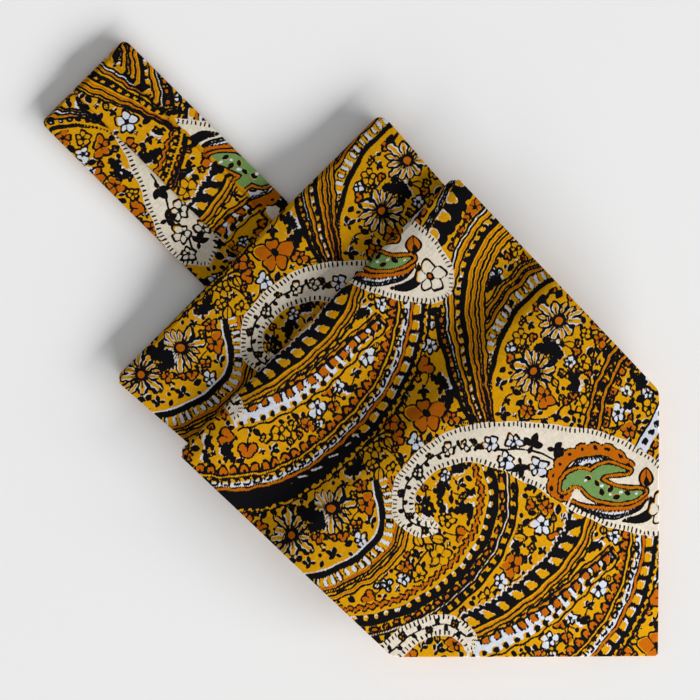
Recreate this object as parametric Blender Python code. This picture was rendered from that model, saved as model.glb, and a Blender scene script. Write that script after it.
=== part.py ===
"""A folded ascot scarf that lies flat, as four cloth pieces: neckband, two blades and hidden layers.

The frame is in metres with +Z up. The scarf lies on z = 0, +Y runs towards the neckband's folded end,
and its blade points to -Y. Inside this script a place along the scarf is its distance s from the
neckband's folded end, and a place across it is x.
"""

import math

import bpy

MM = 0.001

# Cloth and seams
CLOTH = 1.2 * MM
GAP = 0.3 * MM
HALF_CLOTH = CLOTH / 2
EDGE_ROUND = 0.45 * MM
NARROWEST_FACE = 0.6  # the faces' share of the width where the tip is narrower than its edges' rounding
SLOPE_REACH = 0.1 * MM  # half the distance that a panel's slope is measured over

# Driving dimensions along the scarf, from the neckband's folded end
TIP_CORNER = 333.1 * MM
TIP_RADIUS = 1.6 * MM
TIP_FINISH = 0.9  # how far round its small arc the tip is drawn
SECOND_FOLD = 95.6 * MM
FRONT_FOLD = 135.3 * MM
HIDDEN_START = 112.3 * MM
NECK_END = 112.0 * MM
SECOND_RETURN_END = 129.7 * MM
FRONT_RETURN_END = 169.5 * MM
SECOND_PANEL_END = 170.0 * MM
RISE_START = 168.0 * MM
CREST = 214.0 * MM
SHOULDER = 256.1 * MM
WIDENING_START = 158.0 * MM
WIDENING_END = 178.0 * MM

# Driving dimensions across the scarf
FRONT_HALF = 80.2 * MM
SECOND_HALF = 77.1 * MM
FRONT_TAPER = math.tan(math.radians(1.6))
SECOND_TAPER = math.tan(math.radians(3.9))
SHOULDER_BLEND = 2.0 * MM
FOLD_CORNER = 2.7 * MM
RETURN_INSET = 1.5 * MM
NECK_HALF = 24.2 * MM

# The neckband's box pleat: its middle panel lies between two pleat edges
PLEAT_LEFT = -5.8 * MM
PLEAT_RIGHT = 13.6 * MM
PLEAT_TUCK = 1.5 * MM
PLEAT_LIP = 0.4 * MM
PUCKER = 2.2 * MM
SIDE_PLY = 1.15 * MM
PLEATED_PLY = 2.35 * MM
TUCK_GAP = 0.28 * MM

# Heights above the floor, at the scarf's middle
SECOND_LOW = 5.3 * MM
FRONT_LOW = 11.5 * MM
SECOND_ROLL = 2.4 * MM
FRONT_ROLL = 2.2 * MM

# How far the blades sink beside the neckband's thickness, and where across the scarf they do
SINK_START = 14.5 * MM
SINK_END = 60.0 * MM
SINK = (
    # (distance s, how deep the edges lie under the middle)
    (95.0 * MM, 4.0 * MM),
    (165.0 * MM, 4.2 * MM),
    (206.0 * MM, 6.5 * MM),
    (256.0 * MM, 5.5 * MM),
    (300.0 * MM, 2.5 * MM),
    (333.0 * MM, 0.2 * MM),
)

# Height of each panel's upper face along the scarf's middle
SECOND_TOP = (
    # (distance s, height)
    (SECOND_FOLD + SECOND_ROLL, SECOND_LOW + 2 * SECOND_ROLL),
    (104.0 * MM, 10.8 * MM),
    (112.0 * MM, 11.2 * MM),
    (125.0 * MM, 11.2 * MM),
    (140.0 * MM, 11.0 * MM),
    (SECOND_PANEL_END, 10.9 * MM),
)
FRONT_TOP = (
    # (distance s, height): dome behind the fold, hollow, steep rise, crest, long slope to the tip
    (FRONT_FOLD + FRONT_ROLL, FRONT_LOW + 2 * FRONT_ROLL),
    (143.0 * MM, 16.8 * MM),
    (150.0 * MM, 17.0 * MM),
    (160.0 * MM, 16.5 * MM),
    (168.0 * MM, 16.2 * MM),
    (173.0 * MM, 16.8 * MM),
    (180.0 * MM, 18.9 * MM),
    (187.0 * MM, 21.2 * MM),
    (194.0 * MM, 22.9 * MM),
    (203.0 * MM, 23.8 * MM),
    (214.0 * MM, 23.6 * MM),
    (240.0 * MM, 21.4 * MM),
    (272.0 * MM, 17.0 * MM),
    (302.0 * MM, 11.3 * MM),
    (324.0 * MM, 6.2 * MM),
    (333.0 * MM, 3.8 * MM),
)

# The hidden layers, which share one solid with a groove between each layer and the next
HIDDEN_INSET = 2.2 * MM
HIDDEN_TIP_BACK = 9.0 * MM
HIDDEN_TIP_RADIUS = 6.0 * MM
HIDDEN_STEP = 0.3 * MM
LAYERS = 5
GROOVE = 0.7 * MM

# Mesh steps
ROLL_STEPS = 8
BEND_STEPS = 10
PANEL_STEP = 8.0 * MM
RISE_STEP = 5.0 * MM
CORNER_STEP = 1.4 * MM
ACROSS = (0.0, 0.11, 0.22, 0.33, 0.44, 0.55, 0.66, 0.77, 0.87, 0.94, 0.975, 0.992, 1.0)
HIDDEN_ACROSS = (0.0, 0.18, 0.36, 0.54, 0.72, 0.88, 1.0)

TIP = TIP_CORNER - TIP_RADIUS * math.sqrt(2) + TIP_RADIUS * TIP_FINISH
MIDDLE = TIP / 2


def smoothstep(t):
    t = min(max(t, 0.0), 1.0)
    return t * t * (3 - 2 * t)


def curve(rows):
    """A smooth curve through the rows of a table, without overshoot."""
    steps = [(b[1] - a[1]) / (b[0] - a[0]) for a, b in zip(rows, rows[1:])]
    slopes = [steps[0]]
    for before, after in zip(steps, steps[1:]):
        together = before + after
        slopes.append(2 * before * after / together if before * after > 0 else 0.0)
    slopes.append(steps[-1])

    def at(s):
        s = min(max(s, rows[0][0]), rows[-1][0])
        i = max(k for k in range(len(rows) - 1) if s >= rows[k][0])
        (s0, v0), (s1, v1) = rows[i], rows[i + 1]
        length = s1 - s0
        t = (s - s0) / length
        start = (2 * t**3 - 3 * t**2 + 1) * v0 + (t**3 - 2 * t**2 + t) * length * slopes[i]
        end = (3 * t**2 - 2 * t**3) * v1 + (t**3 - t**2) * length * slopes[i + 1]
        return start + end

    return at


second_top = curve(SECOND_TOP)
front_top = curve(FRONT_TOP)
sink_depth = curve(SINK)


def sink(x, s):
    """How far cloth at x sinks beside the neckband's thickness."""
    return sink_depth(s) * smoothstep((abs(x) - SINK_START) / (SINK_END - SINK_START))


def soft_min(a, b, blend):
    return min(a, b) - max(blend - abs(a - b), 0.0) ** 2 / (4 * blend)


def pointed_half(s, side, corner, radius):
    """Half the width of a blade with square point: straight side, soft shoulder, rounded tip."""
    half = soft_min(side, corner - s, SHOULDER_BLEND)
    centre = corner - radius * math.sqrt(2)
    if s > centre + radius / math.sqrt(2):
        return math.sqrt(max(radius**2 - (s - centre) ** 2, 0.0))
    return half


def front_half(s):
    side = FRONT_HALF - max(s - FRONT_FOLD, 0.0) * FRONT_TAPER
    return pointed_half(s, side, TIP_CORNER, TIP_RADIUS)


def second_half(s):
    return SECOND_HALF - max(s - SECOND_FOLD, 0.0) * SECOND_TAPER


def hidden_half(s):
    """The hidden layers follow the second blade's sides, and then the front blade's."""
    swap = smoothstep((s - WIDENING_START) / (WIDENING_END - WIDENING_START))
    side = second_half(s) * (1 - swap) + (FRONT_HALF - (s - FRONT_FOLD) * FRONT_TAPER) * swap
    corner = TIP_CORNER - HIDDEN_TIP_BACK
    return pointed_half(s, side - HIDDEN_INSET, corner, HIDDEN_TIP_RADIUS)


def steps_between(start, end, step):
    """Even stations from start to end, about a step apart, with both ends."""
    count = max(1, round((end - start) / step))
    return [start + (end - start) * i / count for i in range(count + 1)]


def both_sides(fractions):
    return [-f for f in reversed(fractions[1:])] + list(fractions)


def corner_draw(x, half):
    """How far the rounded corner at a fold's end draws the fold back."""
    into = max(abs(x) - (half - FOLD_CORNER), 0.0)
    return FOLD_CORNER - math.sqrt(max(FOLD_CORNER**2 - into**2, 0.0))


def folded_path(fold, low, roll, return_end, stations, top):
    """Rows (s, z, normal along s, normal along z, share of the inset, nearness to the fold)."""
    centre = fold + roll
    rows = []
    for s in reversed(steps_between(centre, return_end, PANEL_STEP)[1:]):
        rows.append((s, low + HALF_CLOTH, 0.0, -1.0, 1.0, 0.0))
    for i in range(ROLL_STEPS + 1):
        angle = math.pi * (1.5 - i / ROLL_STEPS)
        across, up = math.cos(angle), math.sin(angle)
        radius = roll - HALF_CLOTH
        share = 1 - i / ROLL_STEPS
        rows.append((centre + radius * across, low + roll + radius * up, across, up, share, -across))
    for s in stations:
        slope = (top(s + SLOPE_REACH) - top(s - SLOPE_REACH)) / (2 * SLOPE_REACH)
        length = math.hypot(slope, 1)
        rows.append((s, top(s) - HALF_CLOTH, -slope / length, 1 / length, 0.0, 0.0))
    return rows


def place(x, s, z):
    return (x, MIDDLE - s, z)


def blade_rings(path, half_at):
    """One closed ring of points for each row of the path: outer face, edge, inner face, edge."""
    fractions = both_sides(ACROSS)
    rings = []
    for s, z, normal_s, normal_z, inset_share, nearness in path:
        half = half_at(s) - RETURN_INSET * inset_share
        face_half = max(half - EDGE_ROUND, half * NARROWEST_FACE)
        outer, inner = [], []
        for fraction in fractions:
            x = fraction * face_half
            draw = corner_draw(fraction * half, half) * nearness
            height = z - sink(x, s)
            for side, face in ((HALF_CLOTH, outer), (-HALF_CLOTH, inner)):
                face.append(place(x, s + draw + normal_s * side, height + normal_z * side))
        edge_draw = FOLD_CORNER * nearness
        edge_height = z - sink(half, s)
        right = place(half, s + edge_draw, edge_height)
        left = place(-half, s + edge_draw, edge_height)
        rings.append(outer + [right] + inner[::-1] + [left])
    return rings


def neck_section():
    """Outline of one pleated ply: (x, height over its inner face, reach of its bend)."""
    low_reach = GAP / 2 + SIDE_PLY
    high_reach = GAP / 2 + PLEATED_PLY
    under_lip = SIDE_PLY + TUCK_GAP
    nose = (under_lip + PLEATED_PLY) / 2

    def pleat(edge, inward):
        return [
            (edge - inward * PUCKER, SIDE_PLY, low_reach),
            (edge, SIDE_PLY, high_reach),
            (edge + inward * PLEAT_TUCK, SIDE_PLY, high_reach),
            (edge + inward * PLEAT_TUCK, under_lip, high_reach),
            (edge + inward * PLEAT_LIP, under_lip, high_reach),
            (edge, nose, high_reach),
            (edge + inward * PLEAT_LIP, PLEATED_PLY, high_reach),
        ]

    shoulder = NECK_HALF - EDGE_ROUND
    middle = (PLEAT_LEFT + PLEAT_RIGHT) / 2
    outer = [(-NECK_HALF, SIDE_PLY / 2, low_reach), (-shoulder, SIDE_PLY, low_reach)]
    outer += pleat(PLEAT_LEFT, 1) + [(middle, PLEATED_PLY, high_reach)] + pleat(PLEAT_RIGHT, -1)[::-1]
    outer += [(shoulder, SIDE_PLY, low_reach), (NECK_HALF, SIDE_PLY / 2, low_reach)]
    inner = [
        (shoulder, 0.0, low_reach),
        (PLEAT_RIGHT + PUCKER, 0.0, low_reach),
        (PLEAT_RIGHT, 0.0, high_reach),
        (middle, 0.0, high_reach),
        (PLEAT_LEFT, 0.0, high_reach),
        (PLEAT_LEFT - PUCKER, 0.0, low_reach),
        (-shoulder, 0.0, low_reach),
    ]
    return outer + inner


def neck_rings():
    """The pleated section, swept along the lower ply, round the folded end and back."""
    section = neck_section()
    centre_height = PLEATED_PLY + GAP / 2
    plies = steps_between(12 * MM, NECK_END, 20 * MM)
    rings = [[place(x, s, PLEATED_PLY - height) for x, height, _ in section] for s in reversed(plies)]
    for i in range(BEND_STEPS + 1):
        angle = math.pi * (1.5 - i / BEND_STEPS)
        ring = []
        for x, height, reach in section:
            radius = GAP / 2 + height
            ring.append(place(x, reach + radius * math.cos(angle), centre_height + radius * math.sin(angle)))
        rings.append(ring)
    upper = PLEATED_PLY + GAP
    rings += [[place(x, s, upper + height) for x, height, _ in section] for s in plies]
    return rings


def hidden_top(s):
    """Upper face of the hidden layers, under whichever piece lies on them there."""
    if s <= SECOND_RETURN_END + HIDDEN_STEP:
        return SECOND_LOW - GAP
    if s <= SECOND_PANEL_END + HIDDEN_STEP:
        return second_top(s) - CLOTH - GAP
    return front_top(s) - CLOTH - GAP


def hidden_rings():
    """Cross-sections with a flat underside, layered sides and a top that carries the blades."""
    fractions = both_sides(HIDDEN_ACROSS)
    hidden_end = TIP_CORNER - HIDDEN_TIP_BACK - HIDDEN_TIP_RADIUS * (math.sqrt(2) - TIP_FINISH)
    turn = TIP_CORNER - HIDDEN_TIP_BACK - HIDDEN_TIP_RADIUS * math.sqrt(0.5)
    under_return = steps_between(HIDDEN_START, SECOND_RETURN_END + HIDDEN_STEP, PANEL_STEP)
    under_second = steps_between(SECOND_RETURN_END + 2 * HIDDEN_STEP, SECOND_PANEL_END + HIDDEN_STEP, PANEL_STEP)
    rise = steps_between(SECOND_PANEL_END + 2 * HIDDEN_STEP, CREST, RISE_STEP)
    slope = steps_between(CREST, turn, PANEL_STEP)[1:]
    end = steps_between(turn, hidden_end, CORNER_STEP)[1:]
    rings = []
    for s in under_return + under_second + rise + slope + end:
        half = hidden_half(s)
        top_half = half - GROOVE
        side_top = hidden_top(s) - sink(top_half, s)
        top = [place(f * top_half, s, hidden_top(s) - sink(f * top_half, s)) for f in fractions]
        right = []
        for i in range(2 * LAYERS - 1, 0, -1):
            inset = 0.0 if i % 2 else GROOVE
            right.append((half - inset, side_top * i / (2 * LAYERS)))
        bottom = [place(f * top_half, s, 0.0) for f in reversed(fractions)]
        ring = top + [place(x, s, z) for x, z in right] + bottom
        ring += [place(-x, s, z) for x, z in reversed(right)]
        rings.append(ring)
    return rings


def cap(ring, face_points, edge_points):
    """An end cap of quads between the two faces, with one polygon at each edge."""
    count = len(ring)
    opposite = [2 * face_points + edge_points - 1 - i for i in range(face_points)]
    faces = []
    for i in range(face_points - 1):
        faces.append([ring[i], ring[i + 1], ring[opposite[i + 1]], ring[opposite[i]]])
    faces.append([ring[i] for i in range(face_points - 1, face_points + edge_points + 1)])
    faces.append([ring[i % count] for i in range(opposite[0], count + 1)])
    return faces


def cloth_object(name, rings, face_points, edge_points, colour):
    """A closed mesh lofted through the rings, with a cotton material of the given colour."""
    count = len(rings[0])
    points = [point for ring in rings for point in ring]
    faces = []
    for row in range(len(rings) - 1):
        for i in range(count):
            j = (i + 1) % count
            low, high = row * count, (row + 1) * count
            faces.append([low + i, high + i, high + j, low + j])
    first = list(range(count))
    last = [i + (len(rings) - 1) * count for i in first]
    if face_points:
        faces += cap(first, face_points, edge_points)
        faces += [face[::-1] for face in cap(last, face_points, edge_points)]
    else:
        faces += [first, last[::-1]]
    mesh = bpy.data.meshes.new(name)
    mesh.from_pydata(points, [], faces)
    mesh.validate()
    mesh.shade_smooth()
    mesh.set_sharp_from_angle(angle=math.radians(50))
    piece = bpy.data.objects.new(name, mesh)
    bpy.context.collection.objects.link(piece)
    mesh.materials.append(cotton(name + "_cotton", colour))
    return piece


def cotton(name, colour):
    material = bpy.data.materials.new(name)
    material.use_nodes = True
    shader = material.node_tree.nodes["Principled BSDF"]
    shader.inputs["Base Color"].default_value = (*colour, 1.0)
    shader.inputs["Roughness"].default_value = 0.85
    shader.inputs["Metallic"].default_value = 0.0
    return material


def front_blade():
    turn_start = SHOULDER - 2 * CORNER_STEP
    turn_end = SHOULDER + 2 * CORNER_STEP
    tip_start = TIP_CORNER - TIP_RADIUS * math.sqrt(0.5)
    near_fold = steps_between(FRONT_FOLD + FRONT_ROLL, RISE_START, PANEL_STEP)[1:]
    rise = steps_between(RISE_START, CREST, RISE_STEP)[1:]
    slope = steps_between(CREST, turn_start, PANEL_STEP)[1:]
    turn = steps_between(turn_start, turn_end, CORNER_STEP)[1:]
    point = steps_between(turn_end, tip_start, PANEL_STEP)[1:]
    stations = near_fold + rise + slope + turn + point + [TIP]
    path = folded_path(FRONT_FOLD, FRONT_LOW, FRONT_ROLL, FRONT_RETURN_END, stations, front_top)
    rings = blade_rings(path, front_half)
    return cloth_object("front_blade", rings, 2 * len(ACROSS) - 1, 1, (0.42, 0.22, 0.03))


def second_blade():
    stations = steps_between(SECOND_FOLD + SECOND_ROLL, SECOND_PANEL_END, PANEL_STEP)[1:]
    path = folded_path(SECOND_FOLD, SECOND_LOW, SECOND_ROLL, SECOND_RETURN_END, stations, second_top)
    rings = blade_rings(path, second_half)
    return cloth_object("second_blade", rings, 2 * len(ACROSS) - 1, 1, (0.40, 0.20, 0.03))


def neckband():
    return cloth_object("neckband", neck_rings(), 0, 0, (0.44, 0.24, 0.04))


def hidden_layers():
    rings = hidden_rings()
    return cloth_object("hidden_layers", rings, 2 * len(HIDDEN_ACROSS) - 1, 2 * LAYERS - 1, (0.36, 0.19, 0.03))


def main():
    for leftover in list(bpy.data.objects):
        bpy.data.objects.remove(leftover, do_unlink=True)
    neckband()
    second_blade()
    front_blade()
    hidden_layers()


main()
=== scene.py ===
"""Looks of an ascot scarf that lies folded and flat: its printed cotton, light, floor and camera.

Sizes are in millimetres and become metres where a mesh is made. A place along the scarf is its
distance s from the neckband's folded end, and a place across it is x, both as in the source of the
solids. The print is a set of dye screens. Each is a signed distance on the cloth, in millimetres and
above 0 inside its shapes, and the material lays one screen over the other.
"""

import math
from collections import namedtuple

import bpy
import numpy as np
from mathutils import Matrix


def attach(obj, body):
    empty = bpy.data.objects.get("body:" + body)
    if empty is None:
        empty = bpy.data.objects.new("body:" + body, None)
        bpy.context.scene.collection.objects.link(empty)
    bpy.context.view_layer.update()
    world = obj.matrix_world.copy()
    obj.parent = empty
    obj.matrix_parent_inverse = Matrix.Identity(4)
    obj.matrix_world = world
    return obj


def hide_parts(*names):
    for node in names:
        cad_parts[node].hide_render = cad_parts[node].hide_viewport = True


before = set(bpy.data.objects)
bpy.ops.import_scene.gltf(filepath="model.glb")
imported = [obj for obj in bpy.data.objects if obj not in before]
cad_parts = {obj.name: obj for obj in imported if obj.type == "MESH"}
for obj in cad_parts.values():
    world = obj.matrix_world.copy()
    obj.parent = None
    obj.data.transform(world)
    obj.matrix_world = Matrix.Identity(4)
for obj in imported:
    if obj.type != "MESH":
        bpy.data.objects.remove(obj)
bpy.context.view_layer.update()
MM = 0.001

# Sizes that part.py drives the solids with
CLOTH = 1.2
HALF_CLOTH = CLOTH / 2
GAP = 0.3
EDGE_ROUND = 0.45
NARROWEST_FACE = 0.6
TIP_CORNER = 333.1
TIP_RADIUS = 1.6
TIP_FINISH = 0.9
SECOND_FOLD = 95.6
FRONT_FOLD = 135.3
HIDDEN_START = 112.3
NECK_END = 112.0
SECOND_RETURN_END = 129.7
FRONT_RETURN_END = 169.5
SECOND_PANEL_END = 170.0
WIDENING_START = 158.0
WIDENING_END = 178.0
FRONT_HALF = 80.2
SECOND_HALF = 77.1
FRONT_TAPER = math.tan(math.radians(1.6))
SECOND_TAPER = math.tan(math.radians(3.9))
SHOULDER_BLEND = 2.0
FOLD_CORNER = 2.7
RETURN_INSET = 1.5
NECK_HALF = 24.2
PLEAT_LEFT = -5.8
PLEAT_RIGHT = 13.6
PLEAT_TUCK = 1.5
PLEAT_LIP = 0.4
PUCKER = 2.2
SIDE_PLY = 1.15
PLEATED_PLY = 2.35
TUCK_GAP = 0.28
SECOND_LOW = 5.3
FRONT_LOW = 11.5
SECOND_ROLL = 2.4
FRONT_ROLL = 2.2
SINK_START = 14.5
SINK_END = 60.0
HIDDEN_INSET = 2.2
HIDDEN_TIP_BACK = 9.0
HIDDEN_TIP_RADIUS = 6.0
HIDDEN_STEP = 0.3
SLOPE_REACH = 0.1
LAYERS = 5
GROOVE = 0.7
SINK = (
    # (distance s, how deep the edges lie under the middle)
    (95.0, 4.0),
    (165.0, 4.2),
    (206.0, 6.5),
    (256.0, 5.5),
    (300.0, 2.5),
    (333.0, 0.2),
)
SECOND_TOP = (
    # (distance s, height of the upper face at the middle)
    (98.0, 10.1),
    (104.0, 10.8),
    (112.0, 11.2),
    (125.0, 11.2),
    (140.0, 11.0),
    (170.0, 10.9),
)
FRONT_TOP = (
    # (distance s, height of the upper face at the middle)
    (137.5, 15.9),
    (143.0, 16.8),
    (150.0, 17.0),
    (160.0, 16.6),
    (169.5, 16.2),
    (176.0, 16.7),
    (183.0, 18.6),
    (190.0, 21.0),
    (196.0, 22.9),
    (204.0, 23.8),
    (215.0, 23.7),
    (240.0, 21.4),
    (272.0, 17.0),
    (302.0, 11.3),
    (324.0, 6.2),
    (333.0, 3.8),
)
TIP = TIP_CORNER - TIP_RADIUS * math.sqrt(2) + TIP_RADIUS * TIP_FINISH
MIDDLE = TIP / 2

# Meshes: columns on each side of the middle, how many of them the hidden faces skip, and mesh steps
FRONT_COLUMNS = 140
SECOND_COLUMNS = 184
SKIP = 4
RIM_POINTS = 3
RIM_SQUARENESS = 0.8
RETURN_ROW = 8.0
COVERED_ROW = 4.0
SECOND_SHOWS_TO = 139.0
NECK_COLUMN = 0.45
LIP_POINTS = 5
BEND_STEPS = 16
TOP_COLUMNS = 25
UNDERSIDE_COLUMNS = 161
LAYER_POINTS = 5
HIDDEN_ROW = 1.0
TURN_ROW = 0.8
SHARP = math.radians(62)

# Where the neckband's plies start, and how far its rounded end corners reach
PLY_START = 3.0
CORNER_START = 1.0
CORNER_END = 9.0

# The neckband's round edges: how far in their shoulder lies, and how high, as shares of a ply
CORNER_IN = 0.3
CORNER_LOW = 0.15
CORNER_HIGH = 0.85

# Where the print lies on the neckband's bend and on the sides of the hidden layers
BEND_PRINT_START = 0.5
BEND_PRINT_RADIUS = 2.6
EDGE_PRINT_STEP = 0.9
LAYER_PRINT_STEP = 14.0

# Half width under which the slight unevenness of the cloth fades out
CALM_HALF = 20.0


def smoothstep(t):
    t = np.clip(t, 0.0, 1.0)
    return t * t * (3 - 2 * t)


def curve(rows):
    """A smooth curve through the rows of a table, without overshoot."""
    xs, ys = np.array(rows, float).T
    steps = np.diff(ys) / np.diff(xs)
    before, after = steps[:-1], steps[1:]
    together = np.where(before * after > 0, before + after, 1.0)
    inner = np.where(before * after > 0, 2 * before * after / together, 0.0)
    slopes = np.concatenate([steps[:1], inner, steps[-1:]])

    def at(s):
        s = np.clip(s, xs[0], xs[-1])
        i = np.clip(np.searchsorted(xs, s, side="right") - 1, 0, len(steps) - 1)
        length = xs[i + 1] - xs[i]
        t = (s - xs[i]) / length
        start = (2 * t**3 - 3 * t**2 + 1) * ys[i] + (t**3 - 2 * t**2 + t) * length * slopes[i]
        return start + (3 * t**2 - 2 * t**3) * ys[i + 1] + (t**3 - t**2) * length * slopes[i + 1]

    return at


second_top = curve(SECOND_TOP)
front_top = curve(FRONT_TOP)
sink_depth = curve(SINK)


def sink(x, s):
    """How far cloth at x sinks beside the neckband's thickness."""
    return sink_depth(s) * smoothstep((np.abs(x) - SINK_START) / (SINK_END - SINK_START))


def soft_min(a, b, blend):
    return np.minimum(a, b) - np.maximum(blend - np.abs(a - b), 0.0) ** 2 / (4 * blend)


def pointed_half(s, side, corner, radius):
    """Half the width of a blade with square point: straight side, soft shoulder, rounded tip."""
    centre = corner - radius * math.sqrt(2)
    tip = np.sqrt(np.maximum(radius**2 - (s - centre) ** 2, 0.0))
    return np.where(s > centre + radius / math.sqrt(2), tip, soft_min(side, corner - s, SHOULDER_BLEND))


def front_side(s):
    return FRONT_HALF - np.maximum(s - FRONT_FOLD, 0.0) * FRONT_TAPER


def second_side(s):
    return SECOND_HALF - np.maximum(s - SECOND_FOLD, 0.0) * SECOND_TAPER


def hidden_half(s):
    """The hidden layers follow the second blade's sides, and then the front blade's."""
    swap = smoothstep((s - WIDENING_START) / (WIDENING_END - WIDENING_START))
    side = second_side(s) * (1 - swap) + front_side(s) * swap
    return pointed_half(s, side - HIDDEN_INSET, TIP_CORNER - HIDDEN_TIP_BACK, HIDDEN_TIP_RADIUS)


def hidden_top(s):
    """Upper face of the hidden layers, under whichever piece lies on them there."""
    if s <= SECOND_RETURN_END + HIDDEN_STEP:
        return SECOND_LOW - GAP
    if s <= SECOND_PANEL_END + HIDDEN_STEP:
        return float(second_top(s)) - CLOTH - GAP
    return float(front_top(s)) - CLOTH - GAP


def even(start, end, step):
    """Even stations from start to end, about a step apart, with both ends."""
    return np.linspace(start, end, max(1, round((end - start) / step)) + 1)


def corner_draw(x, half):
    """How far the rounded corner at a fold's end draws the fold back."""
    into = np.maximum(np.abs(x) - (half - FOLD_CORNER), 0.0)
    return FOLD_CORNER - np.sqrt(np.maximum(FOLD_CORNER**2 - into**2, 0.0))


def ripple(x, s):
    """Slight unevenness of cloth that was pressed by hand."""
    slow = np.sin(x / 19 + 0.8) * np.sin(s / 27 + 0.4) + 0.6 * np.sin(x / 11 - s / 17 + 2.0)
    return 0.13 * slow + 0.05 * np.sin(x / 6.1 + s / 9.7) * np.sin(s / 4.9 - x / 13)


# One row of a blade's cloth: where its middle surface lies, and how many columns it has a side. A covered
# row shows on neither face, so it has fewer columns. Nearness tells how near the fold it is.
Row = namedtuple("Row", "s z normal columns half cloth_s covered nearness", defaults=(False, 0.0))


class Mesh:
    """Points with their places on the cloth, and faces."""

    def __init__(self):
        self.points, self.cloth, self.faces = [], [], []
        self.count = 0

    def add(self, x, s, z, cloth_x=None, cloth_s=None):
        """Adds a row of points and returns their numbers."""
        x, s, z = np.broadcast_arrays(np.atleast_1d(x).astype(float), s, z)
        self.points.append(np.stack([x, MIDDLE - s, z], 1))
        cloth = np.full((len(x), 2), np.nan)
        if cloth_s is not None:
            cloth[:, 0], cloth[:, 1] = cloth_x, cloth_s
        self.cloth.append(cloth)
        numbers = list(range(self.count, self.count + len(x)))
        self.count += len(x)
        return numbers

    def strip(self, a, b, left=(), right=()):
        """Faces between two rows of (column, point), with the side points that lie between the rows."""
        at_a = {column: i for i, (column, _) in enumerate(a)}
        at_b = {column: i for i, (column, _) in enumerate(b)}
        shared = [column for column, _ in a if column in at_b]
        first_a = [p for _, p in a]
        first_b = [p for _, p in b]
        for c0, c1 in zip(shared, shared[1:]):
            low = first_a[at_a[c0] : at_a[c1] + 1]
            high = first_b[at_b[c0] : at_b[c1] + 1]
            self.faces.append(low + high[::-1])
        start_a, start_b = at_a[shared[0]], at_b[shared[0]]
        if start_a or start_b or left:
            self.faces.append(first_a[: start_a + 1] + first_b[: start_b + 1][::-1] + list(left)[::-1])
        end_a, end_b = at_a[shared[-1]], at_b[shared[-1]]
        if end_a < len(a) - 1 or end_b < len(b) - 1 or right:
            self.faces.append(first_a[end_a:] + list(right) + first_b[end_b:][::-1])

    def tube(self, rings):
        """Quads between closed rings of the same number of points, with a cap at each end."""
        for a, b in zip(rings, rings[1:]):
            for i in range(len(a)):
                j = (i + 1) % len(a)
                self.faces.append([a[i], b[i], b[j], a[j]])
        self.faces.append(rings[0])
        self.faces.append(rings[-1][::-1])

    def make(self, name, paint):
        """The object, with its print, in metres."""
        points = np.vstack(self.points) * MM
        mesh = bpy.data.meshes.new(name)
        mesh.from_pydata(points.tolist(), [], self.faces)
        mesh.validate()
        cloth = np.vstack(self.cloth)
        inks = {ink: np.full(len(points), FAR) for ink in INKS}
        shown = np.nonzero(~np.isnan(cloth[:, 0]))[0]
        paint(shown, cloth[shown], inks)
        for ink in INKS:
            attribute = mesh.attributes.new(ink, "FLOAT", "POINT")
            attribute.data.foreach_set("value", inks[ink].astype(np.float32))
        mesh.shade_smooth()
        mesh.set_sharp_from_angle(angle=SHARP)
        piece = bpy.data.objects.new(name, mesh)
        bpy.context.scene.collection.objects.link(piece)
        return piece


def rim_points(mesh, row, face_half, sign):
    """The round edge of one row, on the side that the sign says, from the outer face to the inner one."""
    ns, nz = row.normal
    half = row.half
    height = row.z - sink(half, row.s) + ripple(sign * half, row.s) * min(1.0, half / CALM_HALF)
    s = row.s + FOLD_CORNER * row.nearness
    numbers = []
    for j in range(RIM_POINTS):
        angle = math.pi * (j + 1) / (RIM_POINTS + 1)
        out = math.sin(angle) ** RIM_SQUARENESS
        up = math.copysign(abs(math.cos(angle)) ** RIM_SQUARENESS, math.cos(angle))
        x = sign * (face_half + (half - face_half) * out)
        side = HALF_CLOTH * up
        numbers += mesh.add(x, s + ns * side, height + nz * side, sign * half, row.cloth_s)
    return numbers


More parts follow.
